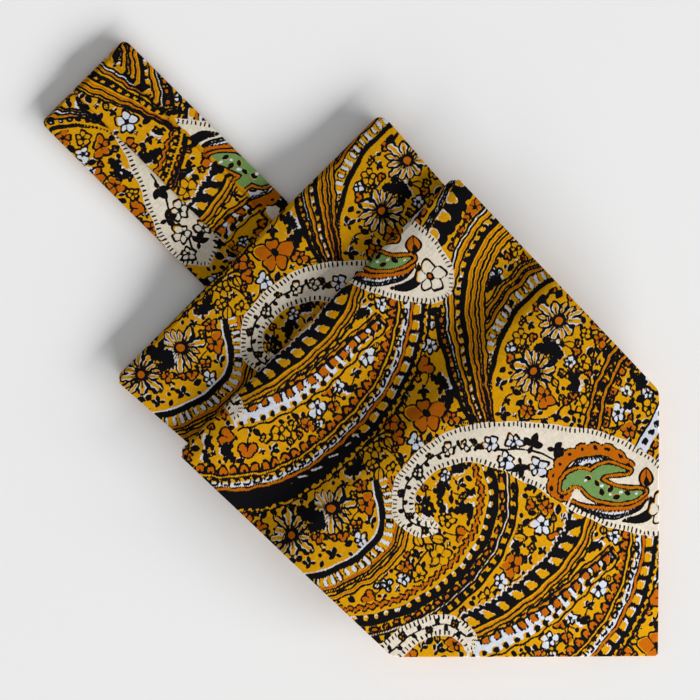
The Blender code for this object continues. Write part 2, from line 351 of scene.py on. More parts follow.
def blade(rows, name, paint):
    """A folded panel of cloth: print columns on the outer face, fewer inside, and round edges."""
    mesh = Mesh()
    outer, inner, rims = [], [], []
    for i, row in enumerate(rows):
        k, half = row.columns, row.half
        whole = np.arange(-k, k + 1)
        few = whole[(whole % SKIP == 0) | (np.abs(whole) == k)]
        face_half = max(half - EDGE_ROUND, half * NARROWEST_FACE)
        ns, nz = row.normal
        last = i == len(rows) - 1
        keep_inner = whole if last else few
        if i % SKIP and not last and not row.covered:
            keep_inner = np.array([-k, k])
        for face, columns, side in (
            (outer, few if row.covered else whole, HALF_CLOTH),
            (inner, keep_inner, -HALF_CLOTH),
        ):
            fraction = columns / k
            x = fraction * face_half
            draw = corner_draw(fraction * half, half) * row.nearness
            height = row.z - sink(x, row.s) + ripple(x, row.s) * min(1.0, half / CALM_HALF)
            printed = (fraction * half, row.cloth_s) if side > 0 else ()
            numbers = mesh.add(x, row.s + draw + ns * side, height + nz * side, *printed)
            face.append(list(zip(columns.tolist(), numbers)))
        rims.append([rim_points(mesh, row, face_half, sign) for sign in (-1, 1)])
    for i in range(len(rows) - 1):
        mesh.strip(outer[i + 1], outer[i])
        for at in (0, -1):
            before, after = ([outer[k][at][1]] + rims[k][at] + [inner[k][at][1]] for k in (i, i + 1))
            for j in range(len(before) - 1):
                quad = [before[j], before[j + 1], after[j + 1], after[j]]
                mesh.faces.append(quad[::-1] if at else quad)
    inner_rows = [i for i in range(len(rows)) if len(inner[i]) > 2]
    for i, j in zip(inner_rows, inner_rows[1:]):
        left, right = ([inner[k][at][1] for k in range(i + 1, j)] for at in (0, -1))
        mesh.strip(inner[i], inner[j], left, right)
    for i, flip in ((0, False), (len(rows) - 1, True)):
        first = len(mesh.faces)
        mesh.strip(outer[i], inner[i], rims[i][0], rims[i][1])
        if flip:
            mesh.faces[first:] = [face[::-1] for face in mesh.faces[first:]]
    return mesh.make(name, paint)


def fold_rows(fold, low, roll, end, columns, side, step):
    """A blade's lower half from its hidden end, and its fold as half a turn from there to its panel."""
    rows = []
    centre = fold + roll
    radius = roll - HALF_CLOTH
    for s in even(end, centre, RETURN_ROW)[:-1]:
        half = float(side(s)) - RETURN_INSET
        cloth_s = centre - math.pi * radius - (s - fold - roll)
        rows.append(Row(s, low + HALF_CLOTH, (0.0, -1.0), columns, half, cloth_s, covered=True))
    count = round(math.pi * roll / step)
    for i in range(count + 1):
        angle = math.pi * (1.5 - i / count)
        across, up = math.cos(angle), math.sin(angle)
        s = centre + radius * across
        half = float(side(s)) - RETURN_INSET * (1 - i / count)
        cloth_s = centre - roll * (angle - math.pi / 2)
        z = low + roll + radius * up
        rows.append(Row(s, z, (across, up), columns, half, cloth_s, nearness=-across))
    return rows


def panel_row(s, top, columns, half, covered=False):
    slope = float(top(s + SLOPE_REACH) - top(s - SLOPE_REACH)) / (2 * SLOPE_REACH)
    length = math.hypot(slope, 1)
    return Row(s, float(top(s)) - HALF_CLOTH, (-slope / length, 1 / length), columns, half, s, covered)


def front_rows():
    columns = FRONT_COLUMNS
    fold = FRONT_FOLD + FRONT_ROLL
    shoulder = (TIP_CORNER - FRONT_HALF - FRONT_FOLD * FRONT_TAPER) / (1 - FRONT_TAPER)
    step = (TIP_CORNER - shoulder) / columns
    rows = fold_rows(FRONT_FOLD, FRONT_LOW, FRONT_ROLL, FRONT_RETURN_END, columns, front_side, step)
    places = [(s, columns) for s in even(fold, shoulder, step)[1:]]
    places += [(min(TIP_CORNER - k * step, TIP - step / 2), k) for k in range(columns - 1, 1, -1)]
    for s, count in places + [(TIP, 1)]:
        half = pointed_half(s, front_side(s), TIP_CORNER, TIP_RADIUS)
        rows.append(panel_row(s, front_top, count, float(half)))
    return rows


def second_rows():
    columns = SECOND_COLUMNS
    fold = SECOND_FOLD + SECOND_ROLL
    step = SECOND_HALF / columns
    end = SECOND_RETURN_END
    rows = fold_rows(SECOND_FOLD, SECOND_LOW, SECOND_ROLL, end, columns, second_side, step)
    for s in even(fold, SECOND_SHOWS_TO, step)[1:]:
        rows.append(panel_row(s, second_top, columns, float(second_side(s))))
    for s in even(SECOND_SHOWS_TO, SECOND_PANEL_END, COVERED_ROW)[1:]:
        rows.append(panel_row(s, second_top, columns, float(second_side(s)), covered=True))
    return rows


# The print, in millimetres: its dye screens in the order that they lie on the ground
INKS = ("cream", "orange", "white", "green", "black")

# Signed distances that stand for far outside a screen, and for far from any band
FAR = -3.0
UNCOVERED = -20.0

# Half widths of drawn lines, and how thin an orange one is beside what it is asked to be
LINE = 0.43
FINE = 0.36
STEM = 0.33
ORANGE_SHARE = 0.62

# How deep petals are cut, the turn from one grape to the next, and how far a paisley's edge reaches
PETAL_DEPTH = 0.42
SEED_TURN = 137.5
EDGE_REACH = 3.4

# One repeat of the print along the cloth, and the field that is strewn once
REPEAT = 134.0
FIELD_START = 199.0
FIELD_HALF = 92.0

# Paisleys, as a middle line with its widths
MAIN_PAISLEY = (
    # (x, s, half width): from the curled tail to the round head
    (-26.5, 230.8, 2.6),
    (-31.8, 226.5, 3.7),
    (-32.4, 218.5, 4.6),
    (-24.5, 211.0, 5.0),
    (-11.5, 209.5, 5.4),
    (3.0, 214.0, 7.0),
    (15.5, 226.0, 9.8),
    (26.0, 243.5, 13.8),
    (34.5, 262.0, 17.6),
    (40.5, 279.0, 16.4),
    (43.2, 291.5, 12.2),
    (44.6, 299.0, 7.2),
)
SIDE_PAISLEY = (
    # (x, s, half width): the tail of one that lies mostly off the cloth
    (-92.0, 254.2, 5.4),
    (-73.0, 254.0, 4.9),
    (-59.0, 257.2, 4.4),
    (-51.0, 264.5, 4.2),
    (-50.2, 272.0, 3.8),
    (-53.0, 277.0, 2.2),
)

# Large flowers that the strewn ones keep clear of
FEATURES = (
    # (x, s, radius, kind, turn)
    (-71.0, 326.0, 9.4, "daisy", 5),
    (-52.0, 330.0, 9.8, "daisy", 20),
    (46.5, 214.5, 8.8, "daisy", 10),
    (68.5, 207.0, 9.4, "daisy", 0),
    (-59.5, 326.5, 5.4, "spray", 80),
    (57.5, 212.5, 5.0, "spray", 60),
    (2.5, 330.0, 7.4, "rose", 18),
    (-58.0, 231.5, 4.8, "grapes", 0),
    (64.0, 307.5, 5.0, "grapes", 0),
    (-40.5, 204.5, 4.6, "rose", 40),
    (42.0, 224.5, 4.8, "rose", 0),
    (60.0, 177.5, 4.2, "spray", 20),
    (4.0, 261.0, 4.8, "pale", 20),
    (2.0, 296.0, 4.8, "pale", 0),
    (-27.0, 296.5, 4.2, "pale", 30),
    (-16.0, 264.0, 4.6, "rose", 10),
    (58.5, 251.0, 4.4, "pale", 10),
)
STREWN = (
    # (size, tries, how close they crowd, kinds by chance)
    (3.5, 1200, 0.95, ("rose", "rose", "plain", "pale", "sprig", "sprig", "clover", "spray")),
    (2.5, 3000, 0.9, ("rose", "plain", "clover", "pale", "sprig", "sprig", "spray", "bud", "spray")),
    (1.7, 5000, 0.88, ("leaf", "leaf", "leaf", "clover", "bud", "plain", "sprig")),
    (1.1, 4500, 0.9, ("berry", "leaf", "leaf")),
)

# The strewn fields' seeds, how clear of the bands a motif stays and how its size varies, as shares of
# its size, and how far a stem bends
FIELD_SEED, LEFT_SEED, MIDDLE_SEED = 7, 12, 13
FREE_EDGE = 0.45
SIZE_SPREAD = (0.85, 1.2)
STEM_BEND = 0.44

SPRAY_LOBES = (
    # (along, across, radius), as shares of the leaf's size
    (-1.1, 0.2, 0.5),
    (-0.4, 0.1, 0.62),
    (0.35, -0.1, 0.7),
    (1.0, 0.25, 0.5),
    (0.6, 0.9, 0.42),
    (-0.5, -0.7, 0.4),
)


def smooth_line(knots, step=1.3):
    """Points about a step apart on a smooth curve through the knots, and any widths with them."""
    knots = np.array(knots, float)
    knots = np.vstack([2 * knots[0] - knots[1], knots, 2 * knots[-1] - knots[-2]])
    points = []
    for a, b, c, d in zip(knots, knots[1:], knots[2:], knots[3:]):
        count = max(2, int(np.linalg.norm((c - b)[:2]) / step))
        t = (np.arange(count) / count)[:, None]
        cubic = (3 * b - a - 3 * c + d) * t**3
        points.append((2 * b + (c - a) * t + (2 * a - 5 * b + 4 * c - d) * t**2 + cubic) / 2)
    points.append(knots[-2:-1])
    return np.vstack(points)


# Numbers without a pattern of their own, which make the scatter
INDEX_TURN, SEED_STEP, MAGNIFY = 12.9898, 78.233, 4375.85453


def scattered(index, seed):
    """A repeatable number from -0.5 to 0.5 for each whole index."""
    wave = np.abs(np.sin(index * INDEX_TURN + seed * SEED_STEP))
    return np.modf(wave * MAGNIFY)[0] - 0.5


class Cloth:
    """Places on the cloth, sorted by s, with each screen's signed distance there.

    cover is how far inside the bands and paisleys a place lies.
    """

    def __init__(self, x, s):
        self.order = np.argsort(s, kind="stable")
        self.x, self.s = x[self.order], s[self.order]
        self.inks = {ink: np.full(len(x), FAR) for ink in INKS}
        self.cover = np.full(len(x), UNCOVERED)

    def moved(self, along):
        """The same cloth, with what is drawn next moved along it."""
        other = object.__new__(Cloth)
        other.order, other.x, other.s = self.order, self.x, self.s - along
        other.inks, other.cover = self.inks, self.cover
        return other

    def box(self, x0, x1, s0, s1):
        first, last = np.searchsorted(self.s, (s0, s1))
        x = self.x[first:last]
        return first + np.nonzero((x > x0) & (x < x1))[0]

    def around(self, line, reach):
        """The places in a line's bounding box, or within reach of it."""
        low, high = line.min(0) - reach, line.max(0) + reach
        return self.box(low[0], high[0], low[1], high[1])

    def patch(self, x, s, reach, turn=0.0):
        """The places near (x, s), in a frame turned by so many degrees."""
        where = self.box(x - reach, x + reach, s - reach, s + reach)
        across, along = self.x[where] - x, self.s[where] - s
        c, n = math.cos(math.radians(turn)), math.sin(math.radians(turn))
        return where, across * c + along * n, along * c - across * n

    def add(self, ink, where, inside):
        field = self.inks[ink]
        field[where] = np.maximum(field[where], inside)

    def clear(self, where, inside):
        for field in self.inks.values():
            field[where] = np.minimum(field[where], -inside)
        self.cover[where] = np.maximum(self.cover[where], inside)

    def paint(self, ink, where, inside):
        """One dye in place of the others. Ink None bares the ground."""
        self.clear(where, inside)
        if ink:
            self.add(ink, where, inside)

    def outline(self, where, inside, half=LINE):
        self.add("black", where, half - np.abs(inside))

    def shape(self, ink, where, inside):
        """A drawn outline with dye in it, or with the ground bare."""
        self.clear(where, inside + LINE)
        if ink:
            self.add(ink, where, inside)
        self.outline(where, inside)


class Ribbon:
    """Places near a curve, by the distance along it and across it.

    Where the curve runs towards +x, across grows towards -s.
    """

    def __init__(self, cloth, knots, reach):
        self.cloth = cloth
        line = smooth_line(knots)
        where = cloth.around(line, reach)
        x, s = cloth.x[where], cloth.s[where]
        best = np.full(len(where), reach**2)
        along, across, past = np.zeros(len(where)), np.zeros(len(where)), np.zeros(len(where))
        start = 0.0
        last = len(line) - 2
        for i, (a, b) in enumerate(zip(line, line[1:])):
            step = b - a
            length = math.hypot(*step)
            near = reach + length
            at = np.nonzero((np.abs(x - a[0]) < near) & (np.abs(s - a[1]) < near))[0]
            dx, ds = x[at] - a[0], s[at] - a[1]
            t = (dx * step[0] + ds * step[1]) / length
            side = (dx * step[1] - ds * step[0]) / length
            clipped = np.clip(t, 0, length)
            gap = side**2 + (t - clipped) ** 2
            better = gap < best[at]
            spot = at[better]
            best[spot] = gap[better]
            along[spot] = start + clipped[better]
            across[spot] = np.copysign(np.sqrt(gap[better]), side[better])
            ends = np.maximum(-t if i == 0 else 0.0, t - length if i == last else 0.0)
            past[spot] = np.broadcast_to(ends, t.shape)[better]
            start += length
        self.length = start
        keep = best < reach**2
        self.where, self.along, self.across = where[keep], along[keep], across[keep]
        self.within = np.where(past[keep] > 0, -past[keep], -FAR)
        self.share = np.clip(self.along / self.length, 0, 1)

    def strip(self, low, high):
        """Signed distance of the strip between two offsets, which may be arrays."""
        return np.minimum(np.minimum(self.across - low, high - self.across), self.within)

    def cells(self, pitch, seed=1, loose=0.1, phase=0.0):
        """Distance along from the middle of each cell of a repeat, with a little scatter."""
        place = self.along / pitch + phase
        index = np.floor(place)
        return (place - index - 0.5) * pitch + scattered(index, seed) * loose * pitch, index

    def put(self, ink, inside, over=True):
        inside = np.minimum(inside, self.within)
        if over:
            self.cloth.clear(self.where, inside)
        if ink:
            self.cloth.add(ink, self.where, inside)

    def fill(self, ink, low, high):
        self.put(ink, self.strip(low, high))

    def line(self, ink, at, half=LINE, wave=0.0, pitch=4.0, over=False):
        middle = at + wave * np.sin(self.along * 2 * math.pi / pitch)
        self.put(ink, half - np.abs(self.across - middle), over)

    def rules(self, black, orange=(), white=(), wave=0.15, pitch=6.0, scale=1.0, half=LINE):
        """Lines side by side: black ones by their offsets, others as rows of (offset, half width)."""
        rows = [("black", at, half) for at in black]
        rows += [("orange", at, wide * ORANGE_SHARE) for at, wide in orange]
        rows += [("white", at, wide) for at, wide in white]
        for ink, at, wide in rows:
            self.line(ink, at * scale, wide, wave, pitch)

    def ticks(self, low, high, pitch, half=FINE):
        cell, _ = self.cells(pitch)
        self.put("black", np.minimum(half - np.abs(cell), self.strip(low, high) + 0.15), False)

    def blocks(self, ink, at, tall, pitch, wide, outline=True, seed=2, over=True):
        """A row of rounded blocks."""
        cell, index = self.cells(pitch, seed, 0.08)
        size = 1 + 0.3 * scattered(index, seed + 5)
        dx = np.abs(cell) - wide * size + 0.5
        dy = np.abs(self.across - at) - tall * size + 0.5
        inside = 0.5 - np.hypot(np.maximum(dx, 0), np.maximum(dy, 0)) - np.minimum(np.maximum(dx, dy), 0)
        inside = np.minimum(inside, self.within)
        self.put(ink, inside, over)
        if outline:
            self.cloth.outline(self.where, inside)

    def dots(self, ink, at, radius, pitch, seed=3, phase=0.0, over=False):
        cell, index = self.cells(pitch, seed, 0.15, phase)
        size = radius * (1 + 0.25 * scattered(index, seed + 7))
        self.put(ink, size - np.hypot(cell, self.across - at), over)

    def scallops(self, ink, low, high, bump, pitch, seed=4, over=True):
        """A strip with round bumps on its upper edge, or on its lower edge where bump is below 0."""
        cell, index = self.cells(pitch, seed)
        rise = bump * (1 - (2 * np.abs(cell) / pitch) ** 2) * (1 + 0.6 * scattered(index, seed))
        self.put(ink, self.strip(low + np.minimum(rise, 0), high + np.maximum(rise, 0)), over)

    def arches(self, low, high, pitch, half, ink="white", seed=6):
        """A row of narrow arches, each outlined with dye inside."""
        cell, index = self.cells(pitch, seed)
        reach = (high - low) / 2 * (1 + 0.25 * scattered(index, seed))
        beyond = np.maximum(np.abs(self.across - (low + high) / 2) - reach + half, 0)
        inside = np.minimum(half - np.hypot(cell, beyond), self.within)
        self.put(ink, np.minimum(inside, 0.35 - cell), False)
        self.cloth.outline(self.where, inside, 0.24)


# Motifs, each drawn round its own middle
def blossom(cloth, x, s, size, ink, turn=0.0, petals=5, heart="black"):
    """A flower drawn by hand: uneven lobes, a spoke between some of them and a small heart."""
    where, u, v = cloth.patch(x, s, size * 1.5, turn)
    radius, angle = np.hypot(u, v), np.arctan2(v, u)
    petal = np.round(angle * petals / (2 * math.pi)) % petals
    uneven = 1 + 0.5 * scattered(petal, x + s)
    lobe = np.abs(np.cos(angle * petals / 2)) ** 0.7
    rim = size * uneven * (1 - PETAL_DEPTH + PETAL_DEPTH * lobe)
    edge = rim + 0.07 * size * np.sin(angle * 8 + x)
    inside = (edge - radius) * 0.8
    cloth.clear(where, inside + LINE)
    if ink:
        cloth.add(ink, where, np.minimum(inside, inside - 0.25 + 0.5 * (u + v) / size))
    cloth.outline(where, inside)
    between = np.floor(angle * petals / (2 * math.pi)) % petals
    spokes = 0.28 - np.abs(np.cos(angle * petals / 2)) * radius * 2 / petals
    reach = size * (0.62 + 0.5 * scattered(between, x - s))
    cloth.add("black", where, np.minimum(spokes, np.minimum(radius - size * 0.1, reach - radius)))
    middle = size * 0.2 - np.hypot(u - 0.08 * size, (v + 0.05 * size) * 0.8)
    cloth.paint(heart, where, middle)
    if heart != "black":
        cloth.outline(where, middle)


def clover(cloth, x, s, size, ink, turn=0.0):
    """Two or three fat lobes with a notch, as a small flower seen from its side."""
    where, u, v = cloth.patch(x, s, size * 1.5, turn)
    inside = np.full(len(where), FAR)
    for angle, share in ((-70, 0.55), (10, 0.7), (85, 0.5)):
        spot = round_about(0, 0, size * 0.55, angle)
        inside = np.maximum(inside, size * share - np.hypot(u - spot[0], v - spot[1]))
    inside = inside + 0.05 * size * np.sin(u * 5 + v * 3)
    cloth.shape(ink, where, inside)
    cloth.add("black", where, np.minimum(0.3 - np.abs(v - 0.3 * u), size * 0.5 - np.abs(u)))


def daisy(cloth, x, s, size, turn=0.0, petals=12):
    """Long pale petals round an orange heart."""
    where, u, v = cloth.patch(x, s, size * 1.3, turn)
    radius, angle = np.hypot(u, v), np.arctan2(v, u)
    bent = 0.16 * np.sin(2 * angle + s) * radius / size
    place = (angle + bent) / (2 * math.pi) * petals + 0.16 * np.sin(3 * angle + x)
    petal = np.round(place)
    off = np.abs(place - petal) * 2 * math.pi / petals * radius
    reach = size * (1 + 0.42 * scattered(petal % petals, x))
    start = size * 0.2
    share = np.clip((radius - start) / (reach - start), 0, 1)
    half = size * 0.23 * np.sqrt(share) * np.sqrt(np.maximum(1 - share**3, 0))
    half = half * (1 + 0.5 * scattered(petal % petals, x + 9))
    half = half * (1 + 0.13 * np.sin(radius * 2.2 + 2 * petal))
    inside = np.minimum(half - off, np.minimum(radius - start, reach - radius))
    cloth.clear(where, inside + LINE)
    cloth.add("white", where, np.minimum(inside, off - half * 0.45))
    cloth.outline(where, inside, LINE * 1.15)
    cloth.add("black", where, np.minimum(0.2 - off, np.minimum(radius - start, size * 0.62 - radius)))
    heart = size * 0.2 - radius
    cloth.paint("orange", where, heart)
    cloth.outline(where, heart, LINE * 0.8)


def leaf(cloth, x, s, length, width, turn=0.0, ink="black", glint=True, bend=0.0):
    """A pointed leaf. Beside a black one a sliver of white shows where the screens don't quite meet."""
    where, u, v = cloth.patch(x, s, length * 0.75, turn)
    v = v - bend * (1 - (2 * u / length) ** 2)
    body = width / 2 * (1 - (2 * u / length) ** 2)
    inside = np.minimum((body - np.abs(v)) * 0.9, length / 2 - np.abs(u))
    if ink == "black":
        if glint:
            way = math.radians(turn)
            du, dv = -0.35 * math.sin(way) - 0.12, 0.35 * math.cos(way) + 0.15
            shifted = np.minimum((body - np.abs(v + dv)) * 0.9, length / 2 - np.abs(u + du))
            cloth.paint("white", where, shifted)
        cloth.paint("black", where, inside)
        return
    cloth.shape(ink, where, inside)
    cloth.add("black", where, np.minimum(0.24 - np.abs(v), inside))


def round_about(x, s, distance, degrees):
    return x + distance * math.cos(math.radians(degrees)), s + distance * math.sin(math.radians(degrees))


def sprig(cloth, x, s, size, turn=0.0, glint=True):
    """Dark leaves from one stem."""
    for angle, share in ((-62, 0.8), (0, 1.0), (58, 0.85), (175, 0.6)):
        spot = round_about(x, s, size * 0.55 * share, turn + angle)
        leaf(cloth, *spot, size * 1.15 * share, size * 0.62 * share, turn + angle, glint=glint)


def spray(cloth, x, s, size, turn=0.0):
    """A heavy dark leaf with ragged lobes."""
    where, u, v = cloth.patch(x, s, size * 2.2, turn)
    inside = np.full(len(where), FAR)
    for along, across, radius in SPRAY_LOBES:
        inside = np.maximum(inside, size * radius - np.hypot(u - along * size, v - across * size))
    inside = inside + (0.15 + 0.09 * size) * np.sin(u * 2.9 + x) * np.sin(v * 2.3 + s)
    cloth.add("white", where, inside - 0.1 + 0.5 * (u - v) / size)
    cloth.paint("black", where, inside)


def grapes(cloth, x, s, size, turn=0.0):
    """Small pale rings close together."""
    for i in range(8):
        spot = round_about(x, s, size * 0.32 * math.sqrt(i), i * SEED_TURN + turn)
        where, u, v = cloth.patch(*spot, size * 0.6)
        radius = np.hypot(u, v)
        cloth.shape("white", where, size * 0.25 - radius)
        cloth.add("black", where, size * 0.07 - radius)


def berry(cloth, x, s, size):
    where, u, v = cloth.patch(x, s, size * 1.5)
    cloth.add("white", where, size - np.hypot(u + 0.25, v + 0.25))
    cloth.paint("black", where, size - np.hypot(u, v))


def stroke(cloth, knots, half=LINE, ink="black"):
    ribbon = Ribbon(cloth, knots, half + 1.2)
    cloth.add(ink, ribbon.where, half - np.abs(ribbon.across))


def vine(cloth, knots, pitch=4.0, size=2.0, ink="black"):
    """A stem with leaves and buds by turns on its two sides."""
    stroke(cloth, knots, LINE * 0.9)
    line = smooth_line(knots, 0.5)
    every = max(1, int(pitch / 0.5))
    for count, i in enumerate(range(every // 2, len(line) - 1, every)):
        step = line[i + 1] - line[i]
        way = math.degrees(math.atan2(step[1], step[0])) + (60 if count % 2 else -60)
        spot = round_about(*line[i], 0.7 * size, way)
        if count % 3:
            leaf(cloth, *spot, size * 1.3, size * 0.85, way, ink, glint=False)
        else:
            blossom(cloth, *spot, size * 0.66, None, way, 4)


def motif(cloth, x, s, size, kind, turn):
    """One motif of a field, about as large as its radius says."""
    if kind == "daisy":
        daisy(cloth, x, s, size, turn)
    elif kind == "spray":
        spray(cloth, x, s, size * 0.85, turn)
    elif kind == "grapes":
        grapes(cloth, x, s, size, turn)
    elif kind == "sprig":
        sprig(cloth, x, s, size, turn)
    elif kind == "leaf":
        leaf(cloth, x, s, size * 2.4, size * 1.5, turn)
    elif kind == "bud":
        leaf(cloth, x, s, size * 2.3, size * 1.5, turn, None)
    elif kind == "berry":
        berry(cloth, x, s, size * 0.85)
    elif kind == "clover":
        clover(cloth, x, s, size * 0.95, "orange", turn)
    else:
        ink = {"rose": "orange", "pale": "white", "plain": None}[kind]
        petals = 4 if size < 2.6 else 5
        blossom(cloth, x, s, size, ink, turn, petals)


def each(draw, cloth, rows, **style):
    """One kind of motif at each row of (x, s, size, turn)."""
    for x, s, size, turn in rows:
        draw(cloth, x, s, size, turn=turn, **style)


# Paisleys
def paisley_ground(cloth, rows):
    """A cream drop round its middle line, with short dark ticks all along inside its edge."""
    line = smooth_line(rows, 0.8)
    step = np.gradient(line[:, :2], axis=0)
    step /= np.hypot(*step.T)[:, None]
    side = np.stack([-step[:, 1], step[:, 0]], 1) * line[:, 2:]
    cap = [line[-1, :2] + step[-1] * line[-1, 2] * 0.55]
    start = [line[0, :2] - step[0] * line[0, 2] * 0.55]
    edge = np.vstack([start, line[:, :2] + side, cap, (line[:, :2] - side)[::-1], start])
    where = cloth.around(edge, 2)
    x, s = cloth.x[where], cloth.s[where]
    within = np.zeros(len(where), bool)
    for a, b in zip(edge, edge[1:]):
        if a[1] != b[1]:
            crosses = (a[1] > s) != (b[1] > s)
            within ^= crosses & (x < (b[0] - a[0]) * (s - a[1]) / (b[1] - a[1]) + a[0])
    knots = edge[::2] if len(edge) % 2 else np.vstack([edge[::2], edge[-1:]])
    rim = Ribbon(cloth, knots, EDGE_REACH)
    inside = np.full(len(cloth.x), -EDGE_REACH)
    inside[where[within]] = EDGE_REACH
    inside[rim.where] = np.where(inside[rim.where] > 0, 1, -1) * np.abs(rim.across)
    shape = inside[where]
    cloth.paint("cream", where, shape)
    rim.across = inside[rim.where]
    rim.ticks(0.45, 2.1, 1.85)


def main_paisley(cloth):
    paisley_ground(cloth, MAIN_PAISLEY)
    line = smooth_line(MAIN_PAISLEY, 2.0)[:, :2]
    vine(cloth, line[1 : int(len(line) * 0.42) : 4], 3.3, 2.0)
    tail = ((-16.5, 209.8, 2.3, 10), (-1.5, 212.0, 2.6, 50), (5.5, 216.0, 2.8, 20))
    each(blossom, cloth, tail, ink="cream", petals=4)
    body = ((12.5, 222.5, 3.6, 0), (12.5, 231.5, 4.2, 30), (20.5, 228.5, 3.6, 60), (19.5, 243, 4, 15))
    each(blossom, cloth, body, ink="white")
    leaves = ((24, 235, 5.4, -20), (30, 243, 5.0, 60), (15.5, 237.5, 4.6, 130), (8, 219, 2.6, 80))
    each(sprig, cloth, leaves, glint=False)
    stroke(cloth, [(13, 226), (20, 233), (25, 240), (27, 247)])
    shell(cloth)
    green_leaf(cloth)
    blossom(cloth, 43.5, 291.5, 6.0, "cream", 18, 5, "orange")


def shell(cloth):
    """The orange scalloped shell over the green leaf, with a frilled lining."""
    arch = [(20.5, 261), (18.0, 255.5), (21.5, 250.8), (28, 249.2)]
    ribbon = Ribbon(cloth, arch + [(36, 250.6), (42.5, 255.5), (46, 263), (46, 271)], 6)
    ribbon.scallops("black", -2.7, 2.3, 1.2, 5.2, seed=9)
    ribbon.scallops("orange", -2.0, 1.6, 1.1, 5.2, seed=9)
    ribbon.dots("black", 0.9, 0.85, 5.2, seed=9)
    lining = Ribbon(cloth, [(25.5, 258.5), (28.5, 254.8), (34, 254.2), (39, 257.5), (41, 263)], 4)
    lining.fill("white", -2.4, 1.2)
    lining.rules((1.3, 0.2), wave=0.25, pitch=1.9)
    each(blossom, cloth, ((33.5, 259, 2.6, 20), (38, 262.5, 2.0, 20)), ink="white")


def green_leaf(cloth):
    """The green leaf with its two horns, in dark and orange outlines, and the sweeps below it."""
    sweep = Ribbon(cloth, [(19.5, 262.5), (23, 270), (28.5, 277.5), (35.5, 282.5), (43.5, 283.8)], 7)
    arc = np.sin(sweep.share * math.pi)
    sweep.fill("white", -2.6 * arc, 0.1)
    sweep.rules((-2.6, -1.4), wave=0.0, scale=arc)
    bars = 0.5 - np.abs(sweep.cells(2.1)[0])
    sweep.put("black", np.minimum(bars, sweep.strip(-2.6 * arc, -1.3 * arc)), False)
    sweep.line("orange", 1.3 * arc, 0.8, over=True)
    sweep.rules((1.3 * arc - 1.0, 1.3 * arc + 1.0), wave=0.0)
    spine = [(20.5, 257), (25.5, 256), (29.8, 259.5), (31, 266), (33.5, 272.5), (38.5, 277.5), (44, 281)]
    body = Ribbon(cloth, spine, 7)
    horn = Ribbon(cloth, [(31.5, 263), (36.5, 262), (41, 265), (45, 270.5)], 6)
    shapes = ((body, 3.3 * np.sin(body.share**0.8 * math.pi) ** 0.8), (horn, 2.2 * (1 - horn.share) ** 0.7))
    for grow, ink in ((2.5, "black"), (1.75, "orange"), (0.9, "black"), (0.15, "green")):
        for ribbon, half in shapes:
            inside = np.minimum(half + grow - np.abs(ribbon.across), ribbon.within + grow)
            cloth.paint(ink, ribbon.where, inside)
    dark = ((31, 261), (32.5, 265), (31.3, 269), (34.5, 270.5), (34, 274.5), (38.5, 276.3))
    for i, (x, s) in enumerate(dark):
        leaf(cloth, x, s, 3.4, 2.1, 60 + 35 * i)
    pale = ((29.6, 260.8, 0.8), (33.4, 267.2, 1.0), (32.9, 272.2, 0.8))
    for x, s, radius in pale + ((36.6, 274.2, 0.9), (41.2, 279.2, 0.7)):
        where, u, v = cloth.patch(x, s, 2.0, 30)
        cloth.paint("white", where, radius - np.hypot(u, v * 1.5))
    crescent = Ribbon(cloth, [(28.5, 283), (34, 287.3), (40, 288.2), (44.8, 284)], 4)
    crescent.put("black", 2.1 * np.sin(crescent.share * math.pi) ** 0.7 - np.abs(crescent.across))
    leaf(cloth, 48.5, 277.5, 8.5, 5.6, -48, "orange")
    leaf(cloth, 47.5, 279.0, 4.2, 2.2, -48, glint=False)


def side_paisley(cloth):
    paisley_ground(cloth, SIDE_PAISLEY)
    vine(cloth, [row[:2] for row in SIDE_PAISLEY[:-1]], 3.6, 2.2)


# Bands of ornament, each along its own curve through a few knots of (x, s). The knots, and the places of
# the paisleys and the large flowers, were read off the photo under a grid in millimetres.
def left_bowl(cloth):
    """Heavy dark curve under the left daisies, with arches and fine lines below it."""
    knots = [(-92, 195), (-82, 205.5), (-73, 212), (-62, 216.2)]
    knots += [(-50, 217.6), (-42, 214.8), (-36, 208), (-31, 200)]
    band = Ribbon(cloth, knots, 14)
    band.fill(None, -12.6, 0.0)
    band.fill("black", -1.4, 1.1)
    band.fill("white", 1.1, 1.75)
    band.arches(-5.4, -1.4, 3.0, 0.92)
    band.rules((-7.0, -8.3), ((-6.0, 0.8),))
    band.rules((-9.6, -11.7), ((-10.6, 0.5),), wave=0.35, pitch=7)


def curl_sweep(cloth):
    """Round the curl: waved orange, dark with pale squares, blocks, fine lines, dark beads."""
    knots = [(-94, 217), (-80, 226), (-68, 236), (-52, 243.2)]
    knots += [(-33, 245.7), (-16, 242.3), (-4, 234), (2, 224)]
    band = Ribbon(cloth, knots, 19)
    band.fill(None, -16.2, 2.2)
    band.line("orange", 0.0, 0.8, 0.5, 3.6)
    band.rules((1.1, -1.1), wave=0.5, pitch=3.6)
    band.fill("black", -7.4, -2.9)
    band.blocks("white", -4.0, 0.85, 4.3, 0.95, False)
    band.blocks(None, -4.5, 0.7, 4.3, 0.7, False)
    band.blocks("orange", -9.0, 0.95, 4.1, 1.2)
    band.rules((-10.6, -12.0), white=((-11.3, 0.2),))
    band.dots("black", -13.6, 1.3, 3.6)
    band.scallops("black", -15.4, -14.3, 0.0, 3.5)


